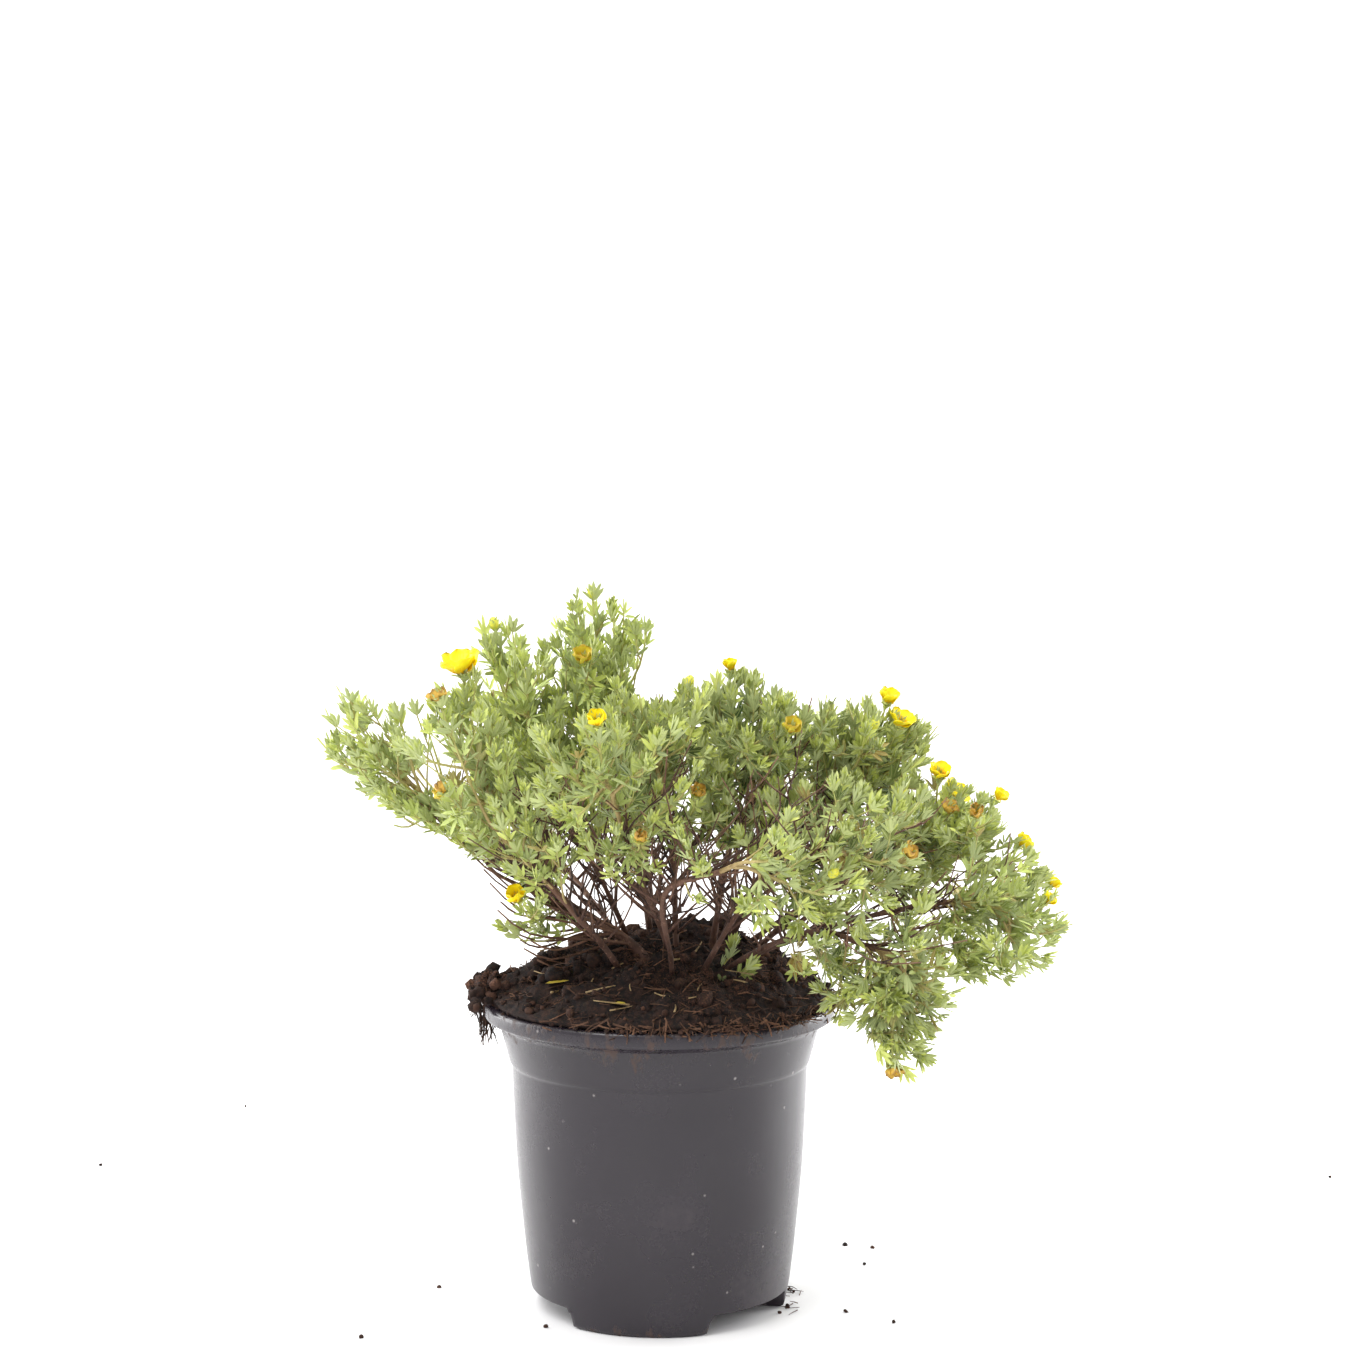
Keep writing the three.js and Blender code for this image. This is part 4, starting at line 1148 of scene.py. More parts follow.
@dataclass
class PottingSoil:
    """The peat that fills the pot, its crumbs, its fibres and what has dropped on it. Millimetres."""

    steps: int = 200
    ring_spacing: float = 1.3
    below: tuple[tuple[float, float], ...] = (
        (0, 12.6), (59, 12.6), (61.6, 14), (67.2, 66), (69.8, 119), (76.1, 139.5), (77.6, 146), (77.9, 150.4),
        (81.6, 150.4),
    )
    weld: float = 0.02
    # The heights and the scales of the roughness
    roughness: tuple[tuple[float, float], ...] = ((3.2, 0.13), (2.4, 0.4), (1.1, 1.1))
    calm_edge: float = 84.0
    heap_height: float = 8.0
    heap_at: tuple[float, float] = (24, 24)
    heap_reach: tuple[float, float] = (42, 30)
    crumb_kinds: int = 6
    crumb_count: int = 760
    largest_crumb: float = 5.5
    clump_count: int = 80
    clump_radius: tuple[float, float] = (80, 91.5)
    clump_rise: tuple[float, float] = (-4, 13)
    rim_crumb_count: int = 110
    fibre_count: int = 800
    fringes: tuple[Fringe, ...] = (
        Fringe(60, (0.05, 0.07), (84, 91), (-6, 5), ((-0.2, 0.4), (0, 0.4)), (5, 20), (0.14, 0.4)),
        Fringe(34, (0.0, 0.08), (81, 88), (8, 16), ((0, 0.22), (0, 0.2)), (10, 20), (0.2, 0.6)),
    )
    rim_fibre_count: int = 300
    straw_count: int = 40
    litter_fibre_count: int = 16
    litter_at: float = 0.6
    litter: tuple[tuple[float, float], ...] = (
        (-54, -44), (64, 17), (66, 12), (58, -22), (62, -12), (-264, 406), (-326, 260), (96, 95), (112, -37),
        (380, 233), (110, 90), (104, 60), (-110, 20), (-140, -60), (90, -20),
    )
    draw: random.Random = field(default_factory=lambda: random.Random("soil"))

    def spot(self, widest: float = 0.98) -> tuple[float, float]:
        """A random place on the mound."""
        angle = self.draw.uniform(0, 2 * math.pi)
        reach = math.sqrt(self.draw.random()) * widest * mound_radius(angle)
        return reach * math.cos(angle), reach * math.sin(angle)

    def front_turn(self, middle: float, spread: float, first: float, last: float) -> float:
        """A random angle on the front of the rim, in radians from degrees."""
        return math.radians(min(last, max(first, self.draw.gauss(middle, spread))))

    def body(self) -> None:
        """Spin the soil's section, then heap and roughen its top."""
        growth = Growth()
        bm = growth.bm
        rings = int(MOUND_RADIUS / self.ring_spacing)
        heap = [(MOUND_RADIUS * (rings - i) / rings, 2 * POT_HEIGHT) for i in range(rings + 1)]
        verts = [bm.verts.new((radius * MM, 0, height * MM)) for radius, height in (*self.below, *heap)]
        edges = [bm.edges.new(pair) for pair in zip(verts, verts[1:])]
        bmesh.ops.spin(bm, geom=verts + edges, axis=UP, cent=(0, 0, 0), angle=2 * math.pi, steps=self.steps,
                       use_merge=True)
        for vert in bm.verts:
            x, y, z = vert.co / MM
            heaped = z > 1.5 * POT_HEIGHT
            if heaped or math.hypot(x, y) > 81:
                stretch = mound_radius(math.atan2(y, x) % (2 * math.pi)) / MOUND_RADIUS
                x, y = x * stretch, y * stretch
                vert.co = metres((x, y, self.surface(x, y) if heaped else z))
        bmesh.ops.remove_doubles(bm, verts=bm.verts, dist=self.weld * MM)
        growth.outward()
        growth.show("peat_soil", [FibrousPeat()], "soil", ("soil",))

    def surface(self, x: float, y: float) -> float:
        """The soil's height with its heap in the middle and its crumbly roughness."""
        edge = 1 - (min(1.0, math.hypot(x, y) / self.calm_edge)) ** 8
        rough = sum(height * noise.noise(Vector((x, y, 0)) * scale) for height, scale in self.roughness)
        along = (x - self.heap_at[0]) / self.heap_reach[0]
        across = (y - self.heap_at[1]) / self.heap_reach[1]
        heap = self.heap_height * math.exp(-(along ** 2 + across ** 2)) * edge
        return soil_height(x, y) + rough * (0.25 + 0.75 * edge) + heap

    def lying(self, x: float, y: float, above: float) -> Vector:
        """A point above the roughened soil, in metres."""
        return metres((x, y, self.surface(x, y) + above))

    def crumb_shapes(self) -> list[bpy.types.Mesh]:
        """A few lumpy crumb shapes of unit size.

        Returns:
            The template meshes.
        """
        shapes = []
        for i in range(self.crumb_kinds):
            growth = Growth()
            for vert in bmesh.ops.create_icosphere(growth.bm, subdivisions=1 + i % 2, radius=1)["verts"]:
                broad = noise.noise(vert.co * 1.3 + Vector((7 * i, 0, 0)))
                vert.co *= 1 + 0.55 * broad + 0.3 * noise.noise(vert.co * 3.1)
            growth.outward()
            shapes.append(growth.template(f"crumb_{i}"))
        return shapes

    def crumbs(self) -> None:
        """Scatter crumbs over the mound, hang a clump over the rim at the left, and line the rim's front."""
        shapes = self.crumb_shapes()
        growth = Growth()
        draw = self.draw
        for _ in range(self.crumb_count):
            x, y = self.spot()
            size = min(self.largest_crumb, 0.9 + draw.expovariate(1.1))
            self.place_crumb(growth, shapes, self.lying(x, y, size * 0.2), size)
        for _ in range(self.clump_count):
            turn = math.pi + draw.gauss(0.06, 0.09)
            radius = draw.uniform(*self.clump_radius)
            height = POT_HEIGHT + 2 + draw.uniform(*self.clump_rise) * smoothstep(97, 84, radius)
            self.place_crumb(growth, shapes, round_axis(turn, radius, height), draw.uniform(1.4, 3.6))
        for _ in range(self.rim_crumb_count):
            turn = self.front_turn(-50, 40, -168.0, -8.0)
            spot = round_axis(turn, draw.uniform(81.5, 85.2), POT_HEIGHT + 1.0)
            self.place_crumb(growth, shapes, spot, draw.uniform(0.6, 1.7))
        growth.show("soil_crumbs", [FibrousPeat()], "soil")

    def debris(self) -> None:
        """Drop a few crumbs and bits of fibre on the floor round the pot, as part of the stage."""
        growth = Growth()
        draw = self.draw
        shapes = self.crumb_shapes()
        for x, y in self.litter:
            self.place_crumb(growth, shapes, metres((x, y, self.litter_at)), draw.uniform(0.7, 1.4))
        for _ in range(self.litter_fibre_count):
            spot = round_axis(math.radians(draw.uniform(-20, 25)), draw.uniform(61, 70), self.litter_at + 0.1)
            heading = Vector((draw.gauss(0, 1), draw.gauss(0, 1), 0)).normalized()
            self.fibre(growth, spot, heading, draw.uniform(4, 10), 0.3, draw.random())
        growth.outward()
        mesh = growth.template("floor_debris")
        mesh.materials.append(FibrousPeat().material())
        litter = bpy.data.objects.new("floor_debris", mesh)
        bpy.context.scene.collection.objects.link(litter)

    def place_crumb(self, growth: Growth, shapes: list[bpy.types.Mesh], spot: Vector, size: float) -> None:
        """Stamp one crumb of a size in millimetres at a spot in metres."""
        draw = self.draw
        turn = Quaternion([draw.gauss(0, 1) for _ in range(4)]).normalized()
        stretch = Vector([size * MM * draw.uniform(0.6, 1.15) for _ in range(3)])
        place = Matrix.LocRotScale(spot, turn, stretch)
        growth.stamp(draw.choice(shapes), place, 0.5 * draw.random() ** 3, 0.0)

    def fibre(
        self,
        growth: Growth,
        start: Vector,
        heading: Vector,
        length: float,
        radius: float,
        tint: float,
    ) -> None:
        """Sweep one bent fibre.

        Args:
            growth: the mesh that it is added to.
            start: its middle, in metres.
            heading: the way it lies.
            length: in millimetres.
            radius: in millimetres.
            tint: how pale it is, from 0 to 1.
        """
        wander = Vector([self.draw.gauss(0, 0.16) for _ in range(3)])
        ends = [start + (heading * share + wander * (0.25 - share * share)) * length * MM
                for share in (-0.5, 0, 0.5)]
        Limb(Route(ends, 6), (radius * MM, 0.5 * radius * MM), 3, 4, tint, (0.0, 0.0)).sweep(growth)

    def fibres(self) -> None:
        """Strew fibres and rootlets over the mound and let some hang over the rim."""
        growth = Growth()
        draw = self.draw
        for _ in range(self.fibre_count):
            x, y = self.spot()
            turn = draw.uniform(0, 2 * math.pi)
            heading = Vector((math.cos(turn), math.sin(turn), draw.gauss(0.05, 0.32))).normalized()
            self.fibre(growth, self.lying(x, y, draw.uniform(-0.5, 2.0)), heading, draw.uniform(4, 15),
                       draw.uniform(0.14, 0.45), draw.random() ** 1.3)
        for fringe in self.fringes:
            for _ in range(fringe.count):
                spot = round_axis(math.pi + draw.gauss(*fringe.turn), draw.uniform(*fringe.radius),
                                  POT_HEIGHT - draw.uniform(*fringe.drop))
                heading = Vector([*(draw.gauss(*lean) for lean in fringe.lean), -1]).normalized()
                self.fibre(growth, spot, heading, draw.uniform(*fringe.length), draw.uniform(*fringe.girth),
                           0.3 * draw.random())
        for _ in range(self.rim_fibre_count):
            spot = round_axis(self.front_turn(-52, 30, -165.0, -6.0), draw.uniform(82.5, 85.6),
                              POT_HEIGHT + draw.uniform(-2, 3.5))
            heading = Vector((draw.gauss(0, 0.8), draw.gauss(-0.1, 0.6), draw.uniform(-0.8, 0.2)))
            self.fibre(growth, spot, heading.normalized(), draw.uniform(3, 12), draw.uniform(0.16, 0.7),
                       draw.random() ** 0.8)
        growth.outward()
        growth.show("peat_fibres", [FibrousPeat(name="dry_peat_fibre", dry="#84604a")], "soil")

    def straws(self) -> None:
        """Lay dry straws and leaf stalks on the mound."""
        growth = Growth()
        draw = self.draw
        for _ in range(self.straw_count):
            x, y = self.spot(0.9)
            turn = draw.uniform(0, math.pi)
            heading = Vector((math.cos(turn), math.sin(turn), draw.uniform(0.0, 0.3)))
            self.fibre(growth, self.lying(x, y, 1.0), heading, draw.uniform(5, 17), draw.uniform(0.3, 0.7),
                       0.0)
        growth.outward()
        growth.show("dry_straws", [DRY_STRAW], "soil")

    def build(self) -> None:
        """Make the soil and all that lies on it."""
        self.body()
        self.crumbs()
        self.fibres()
        self.straws()
        self.debris()


# Leaves


@dataclass
class LeafShapes:
    """Template leaves of five narrow leaflets each, open to different degrees. Millimetres."""

    leaflet_length: float = 9.8
    leaflet_width: float = 2.35
    thickness: float = 0.3
    petiole_length: float = 2.6
    rachis_length: float = 2.0
    stalk_radius: float = 0.28
    variants: int = 4
    pair_shortening: float = 0.07
    length_range: tuple[float, float] = (0.9, 1.1)
    width_range: tuple[float, float] = (0.85, 1.12)
    turn_spread_deg: float = 6.0
    rise_spread_deg: float = 8.0
    roll_spread_deg: float = 18.0
    fold_range: tuple[float, float] = (0.22, 0.6)
    curl_range: tuple[float, float] = (-0.03, 0.17)
    meshes: dict[LeafPose, list[bpy.types.Mesh]] = field(default_factory=dict)

    def leaflet(
        self,
        growth: Growth,
        place: Matrix,
        length: float,
        width: float,
        fold: float,
        curl: float,
    ) -> None:
        """Shape one leaflet: a slender ball pressed flat, folded along its midrib and curled.

        Args:
            growth: the mesh that it is added to.
            place: where the leaflet's foot goes.
            length: in millimetres.
            width: in millimetres.
            fold: how steeply the halves rise from the midrib.
            curl: how far the tip turns down, as a share of the length.
        """
        bm = growth.bm
        lying = Matrix.Rotation(math.pi / 2, 4, "Y")
        verts = bmesh.ops.create_uvsphere(bm, u_segments=4, v_segments=3, radius=1, matrix=lying)["verts"]
        seat = {vert: vert.co.copy() for vert in verts}
        for face in {face for vert in verts for face in vert.link_faces}:
            face.smooth = True
            middle = face.calc_center_median()
            for loop in face.loops:
                at = seat[loop.vert]
                on_rim = abs(at.z) < 0.01 and abs(at.y) > 0.01
                across = 0.5 + 0.5 * math.copysign(1.0, middle.y) * on_rim
                loop[growth.blade].uv = (across + (2 if middle.z < 0 else 0), (at.x + 1) / 2)
        for edge in {edge for vert in verts for edge in vert.link_edges}:
            edge.smooth = any(abs(seat[end].z) > 0.01 for end in edge.verts)
        for vert, at in seat.items():
            along = (at.x + 1) / 2
            taper = 1 - 0.15 * at.x
            y = at.y * width / 2 * taper
            depth = (self.thickness if at.z < 0 else 0) * abs(at.z)
            z = fold * abs(y) - depth - curl * length * along * along
            vert.co = metres((along * length, y, z))
        bmesh.ops.transform(bm, matrix=place, verts=verts)

    def stalk(self, growth: Growth) -> None:
        """The petiole and rachis, from the origin along +X."""
        length = (self.petiole_length + self.rachis_length) * MM
        lying = Matrix.Translation((length / 2 - 0.4 * MM, 0, 0)) @ Matrix.Rotation(math.pi / 2, 4, "Y")
        cone = bmesh.ops.create_cone(growth.bm, cap_ends=True, segments=3, radius1=self.stalk_radius * MM,
                                     radius2=0.6 * self.stalk_radius * MM, depth=length + 0.8 * MM,
                                     matrix=lying)
        for face in {face for vert in cone["verts"] for face in vert.link_faces}:
            face.material_index = 1
            face.smooth = True

    def leaf(self, pose: LeafPose, number: int) -> bpy.types.Mesh:
        """One template leaf.

        Args:
            pose: how far it has opened.
            number: which variant it is.

        Returns:
            The mesh, with its foot at the origin and its tip along +X.
        """
        draw = random.Random(f"leaf {pose.name} {number}")
        growth = Growth()
        directions, rise = pose.value
        for i, direction in enumerate(directions):
            pair = abs(i - 2)  # 0 for the end leaflet, 2 for the lowest pair
            foot = self.petiole_length + self.rachis_length * (1 - pair / 2)
            length = self.leaflet_length * (1 - self.pair_shortening * pair)
            length *= draw.uniform(*self.length_range)
            width = self.leaflet_width * draw.uniform(*self.width_range)
            turn = Matrix.Rotation(math.radians(direction + draw.gauss(0, self.turn_spread_deg)), 4, "Z")
            lift = Matrix.Rotation(-math.radians(rise + draw.gauss(0, self.rise_spread_deg)), 4, "Y")
            roll = Matrix.Rotation(math.radians(draw.gauss(0, self.roll_spread_deg)), 4, "X")
            place = Matrix.Translation((foot * MM, 0, 0)) @ turn @ lift @ roll
            fold, curl = draw.uniform(*self.fold_range), draw.uniform(*self.curl_range)
            self.leaflet(growth, place, length, width, fold, curl)
        self.stalk(growth)
        return growth.template(f"leaf_{pose.name.lower()}_{number}")

    def build(self) -> None:
        """Make every template leaf."""
        for pose in LeafPose:
            self.meshes[pose] = [self.leaf(pose, number) for number in range(self.variants)]


# Branches


@dataclass
class Limbs:
    """The routes of a branch's stem and shoots, by the rules of the CAD model."""

    branch: Branch

    def stem(self) -> Route:
        """The woody stem's route, from its root in the soil to its fork."""
        branch = self.branch
        surface = on_soil(*branch.foot)
        bend = metres(branch.bend)
        rise = (bend - surface).normalized()
        rise.z += UPRIGHT_START
        rise.normalize()
        root = surface - rise * STEM_ROOT_DEPTH * MM
        return Route([root, surface + rise * 6 * MM, bend, metres(branch.fork)], 50)

    @staticmethod
    def shoot(start: Vector, heading: Vector, shoot: Shoot) -> Route:
        """A shoot's route, from its start to its tip."""
        tip = metres(shoot.tip)
        reach = (tip - start).length
        arrival = (tip - start).normalized()
        if shoot.bears is Bears.BLOOM:
            arrival = arrival + FACING_LIGHT
        else:
            arrival.z += 0.35
        last = tip - arrival.normalized() * 0.22 * reach
        return Route([start, start + heading * 0.18 * reach, last, tip], 30)

    def shoots(self) -> list[Route]:
        """The routes of the leader and the side shoots, in the order of the branch's shoots."""
        stem = self.stem()
        heading = stem.heading(1)
        leader = self.shoot(stem.at(1) + heading * GAP * MM, heading, self.branch.shoots[0])
        routes = [leader]
        for i, side in enumerate(self.branch.shoots[1:]):
            share = FIRST_SIDE_SHOOT + SIDE_SHOOT_SPACING * i
            routes.append(self.shoot(leader.at(share), leader.heading(share), side))
        return routes

    def sprigs(self) -> list[Route]:
        """The routes of the finer shoots that leave the stem."""
        stem = self.stem()
        return [self.shoot(stem.at(share), stem.heading(share), sprig) for share, sprig in self.branch.sprigs]


@dataclass
class WoodyStem:
    """A main stem with its bare twigs. Millimetres."""

    branch: Branch
    twig_count: int = 21
    twig_length: tuple[float, float] = (20.0, 58.0)
    twig_radius: tuple[float, float] = (0.5, 0.95)
    twig_tip_radius: float = 0.28
    side_twig_length: tuple[float, float] = (10.0, 28.0)
    side_twig_radius: float = 0.45
    runner_radii: tuple[float, float] = (0.95, 0.4)
    lowest_twig: float = 0.3
    trimmed: float = 0.45  # the share that is left of a twig outside the foliage's outline

    def twig(
        self,
        growth: Growth,
        draw: random.Random,
        parent: Route,
        share: float,
        length: float,
        radius: float,
    ) -> Route:
        """Sweep one twig that leaves its parent and bends upwards.

        Args:
            growth: the mesh that it is added to.
            draw: the stem's random numbers.
            parent: what it grows from.
            share: where on the parent.
            length: in millimetres.
            radius: at its foot, in millimetres.

        Returns:
            The twig's route.
        """
        turn = draw.uniform(0, 2 * math.pi)
        aside = Vector((math.cos(turn), math.sin(turn), draw.uniform(-0.1, 0.5)))
        heading = (parent.heading(share) * 0.7 + aside * 0.8).normalized()
        start = parent.at(share)
        if not FRONT.holds(start + heading * length * MM):
            length *= self.trimmed
        middle = start + heading * length * 0.5 * MM
        bend = Vector((draw.gauss(0, 0.16), draw.gauss(0, 0.16), draw.uniform(0.05, 0.42))) * length * MM
        route = Route([start, middle, start + heading * length * MM + bend], 8)
        radii = (radius * MM, self.twig_tip_radius * MM)
        Limb(route, radii, 4, 5, draw.random() ** 2 * 0.8, (0.9, 0.1), 0.3).sweep(growth)
        return route

    def build(self) -> None:
        """Make the stem with its twigs."""
        branch = self.branch
        draw = random.Random(f"stem {branch.name}")
        growth = Growth()
        route = Limbs(branch).stem()
        radii = (branch.girth / 2 * MM, STEM_TIP_RADIUS * MM)
        Limb(route, radii, 9, 22, 0.35 * draw.random(), (1.0, 0.25), 0.32).sweep(growth)
        runner_radii = tuple(radius * MM for radius in self.runner_radii)
        for share, *tip in branch.runners:
            runner = Limbs.shoot(route.at(share), route.heading(share), leafy(*tip))
            Limb(runner, runner_radii, 5, 9, 0.3 * draw.random(), (0.6, 0.2), 0.3).sweep(growth)
        for _ in range(self.twig_count):
            share = draw.uniform(self.lowest_twig, 0.97)
            length = draw.uniform(*self.twig_length)
            twig = self.twig(growth, draw, route, share, length, draw.uniform(*self.twig_radius))
            for _ in range(draw.randrange(3)):
                share, length = draw.uniform(0.3, 0.85), draw.uniform(*self.side_twig_length)
                self.twig(growth, draw, twig, share, length, self.side_twig_radius)
        growth.outward()
        growth.show(f"woody_stem_{branch.name}", [ShreddingBark()], "stem", (f"stem_{branch.name}",))


@dataclass
class LeafySpray:
    """The green shoots of a branch, their side twigs and all their leaves. Millimetres."""

    branch: Branch
    leaves: LeafShapes
    leaf_spacing: float = 6.1
    twig_spacing: float = 13.0
    twig_leaf_spacing: float = 5.2
    tuft_count: int = 4
    longest_twig: float = 34.0
    shortest_twig: float = 12.0
    leaf_reach: float = 12.5
    tone_spread: float = 0.34
    trimmed: float = 0.72  # the scale of a leaf that would stick out of the outline at its full size
    spread_share: tuple[float, float] = (0.5, 0.35)  # of wide open leaves at a shoot's foot, and its fall
    leaf_deg: tuple[float, float] = (58.0, 26.0)  # a leaf's angle to the shoot at its foot, and its fall
    leaf_spread_deg: float = 11.0
    grown_age: tuple[float, float] = (0.62, 0.5)  # a leaf's age at a shoot's foot, and its fall
    oldest_green: float = 0.72
    withered_age: tuple[float, float] = (0.85, 1.0)
    tuft_spacing: float = 0.9
    twig_radii: tuple[float, float] = (0.5, 0.3)
    sprig_radii: tuple[float, float] = (0.65, 0.35)

    def __post_init__(self) -> None:
        """Start the spray's mesh and its random numbers."""
        self.growth = Growth()
        self.draw = random.Random(f"spray {self.branch.name}")

    def leaf(self, route: Route, share: float, turn: float, pose: LeafPose, spread_deg: float, size: float,
             age: float) -> None:
        """Stamp one leaf on a shoot, smaller or not at all where it would stick out of the outline.

        Args:
            route: the shoot.
            share: where on the shoot.
            turn: its turn round the shoot, in radians.
            pose: how far it has opened.
            spread_deg: its angle to the shoot.
            size: its scale.
            age: from 0, young, to 1, withered.
        """
        draw = self.draw
        tangent = route.heading(share)
        level = tangent.cross(Vector((0.1, 0.2, 1))).normalized()
        aside = Quaternion(tangent, turn) @ level
        spread = math.radians(spread_deg)
        forward = tangent * math.cos(spread) + aside * math.sin(spread)
        forward.z += 0.26
        up = tangent - aside * 0.6 + Vector((draw.gauss(0, 0.25), draw.gauss(0, 0.25) - 0.1, 0.5))
        template = draw.choice(self.leaves.meshes[pose])
        # The leaf's tint: its branch's painted light and shade, with a random spread from leaf to leaf
        tint = min(1.0, max(0.0, draw.gauss(self.branch.tone, self.tone_spread)))
        foot = route.at(share)
        place = facing(foot, forward, up)
        for scale in (size, self.trimmed * size):
            reach = self.leaf_reach * scale * MM
            if all(FRONT.holds(place @ Vector((share * reach, 0, 0))) for share in (0.5, 1)):
                self.growth.stamp(template, place @ Matrix.Scale(scale, 4), tint, age)
                return

    def dress(self, route: Route, first: float, spacing: float, vigour: float) -> None:
        """Set leaves along a shoot and a tuft of young ones at its tip.

        Args:
            route: the shoot.
            first: the share of its length where the leaves start.
            spacing: between the leaves, in millimetres.
            vigour: the scale of a grown leaf.
        """
        draw = self.draw
        turn = draw.uniform(0, 2 * math.pi)
        count = max(1, int((1 - first) * route.length / (spacing * MM)))
        for i in range(count):
            share = first + (0.95 - first) * (i + draw.uniform(-0.25, 0.25)) / count
            turn += GOLDEN_TURN
            at_foot, fall = self.spread_share
            pose = LeafPose.SPREAD if draw.random() < at_foot - fall * share else LeafPose.HALF_OPEN
            at_foot, fall = self.grown_age
            age = min(self.oldest_green, max(0.0, at_foot - fall * share + draw.gauss(0, 0.12)))
            if draw.random() < self.branch.withered:
                age = draw.uniform(*self.withered_age)
            at_foot, fall = self.leaf_deg
            angle = draw.gauss(at_foot - fall * share, self.leaf_spread_deg)
            self.leaf(route, share, turn, pose, angle, vigour * draw.uniform(0.8, 1.1), age)
        for i in range(self.tuft_count):
            turn += GOLDEN_TURN
            share = 1 - self.tuft_spacing * MM * i / route.length
            pose = LeafPose.TUFT if i < 2 else LeafPose.HALF_OPEN
            size = vigour * (0.66 + 0.07 * i) * draw.uniform(0.9, 1.1)
            self.leaf(route, share, turn, pose, 8 + 9 * i, size, max(0.0, draw.gauss(0.1, 0.08)))

    def twig(self, parent: Route, share: float, turn: float, length: float) -> Route:
        """The route of a side twig.

        Args:
            parent: what it grows from.
            share: where on the parent.
            turn: its turn round the parent, in radians.
            length: in millimetres.

        Returns:
            The twig's route.
        """
        draw = self.draw
        tangent = parent.heading(share)
        level = tangent.cross(Vector((0.1, 0.2, 1))).normalized()
        aside = Quaternion(tangent, turn) @ level
        heading = (tangent * 0.72 + aside * 0.7 + UP * 0.16).normalized()
        start = parent.at(share)
        end = start + (heading + Vector((draw.gauss(0, 0.1), draw.gauss(0, 0.1), 0.16))) * length * MM
        return Route([start, start + heading * 0.5 * length * MM, end], 8)

    def branch_out(self, route: Route, spacing: float) -> list[Route]:
        """Sweep the side twigs of a shoot.

        Args:
            route: the shoot.
            spacing: between its twigs, in millimetres.

        Returns:
            The twigs' routes.
        """
        draw = self.draw
        twigs = []
        radii = tuple(radius * MM for radius in self.twig_radii)
        count = int(route.length / (spacing * MM))
        turn = draw.uniform(0, 2 * math.pi)
        for number in range(count):
            share = 0.06 + 0.8 * (number + draw.uniform(0.1, 0.9)) / count
            turn += GOLDEN_TURN
            length = self.shortest_twig + (self.longest_twig - self.shortest_twig) * (1 - share)
            twig = self.twig(route, share, turn, length * draw.uniform(0.75, 1.1))
            if not FRONT.holds(twig.at(1)):
                twig = self.twig(route, share, turn + math.pi, 0.6 * length)
            if FRONT.holds(twig.at(1)) and FRONT.holds(twig.at(0.5)):
                Limb(twig, radii, 4, 3, draw.random(), (0.5, 0.0)).sweep(self.growth, 1)
                twigs.append(twig)
        return twigs

    def build(self) -> None:
        """Make the spray: shoots and sprigs first, then twigs, then leaves."""
        limbs, draw = Limbs(self.branch), self.draw
        sprig_radii = tuple(radius * MM for radius in self.sprig_radii)
        dressed: list[tuple[Route, float, float, float]] = []
        for i, route in enumerate(limbs.shoots()):
            root, tip = SIDE_SHOOT_RADII if i else LEADER_RADII
            radii = (root * MM, 0.8 * tip * MM)
            Limb(route, radii, 6, 9, draw.random(), (0.7, 0.0), 0.15).sweep(self.growth, 1)
            dressed.append((route, 0.24, self.leaf_spacing, 1.0))
            dressed += [(twig, 0.15, self.twig_leaf_spacing, draw.uniform(0.8, 0.98))
                        for twig in self.branch_out(route, self.twig_spacing)]
        for route in limbs.sprigs():
            Limb(route, sprig_radii, 5, 7, draw.random(), (0.7, 0.0)).sweep(self.growth, 1)
            dressed.append((route, 0.3, self.leaf_spacing, 0.95))
            dressed += [(twig, 0.15, self.twig_leaf_spacing, draw.uniform(0.75, 0.95))
                        for twig in self.branch_out(route, 1.6 * self.twig_spacing)]
        self.growth.outward()
        for route, first, spacing, vigour in dressed:
            self.dress(route, first, spacing, vigour)
        name = self.branch.name
        self.growth.show(f"leafy_spray_{name}", [SilkyLeaf(), GreenShootSkin()], "spray", (f"spray_{name}",))


# Flowers


@dataclass(frozen=True)
class BloomForm:
    """How large an open flower is, how steeply its petals rise, and whether it is fresh."""

    size: float = 0.8
    rise_deg: float = 40.0
    fresh: bool = True


# The open flowers' forms, in the order of their numbers
BLOOM_FORMS = (
    BloomForm(1.3, 36), BloomForm(0.8, 52, False), BloomForm(0.72, 50), BloomForm(0.58, 50),
    BloomForm(0.75, 52, False), BloomForm(0.78, 44), BloomForm(0.68, 44), BloomForm(0.6, 46),
    BloomForm(0.78, 40), BloomForm(0.6, 46), BloomForm(0.9, 20), BloomForm(0.7, 50, False),
    BloomForm(0.85, 56), BloomForm(0.9, 32), BloomForm(0.55, 48),
)


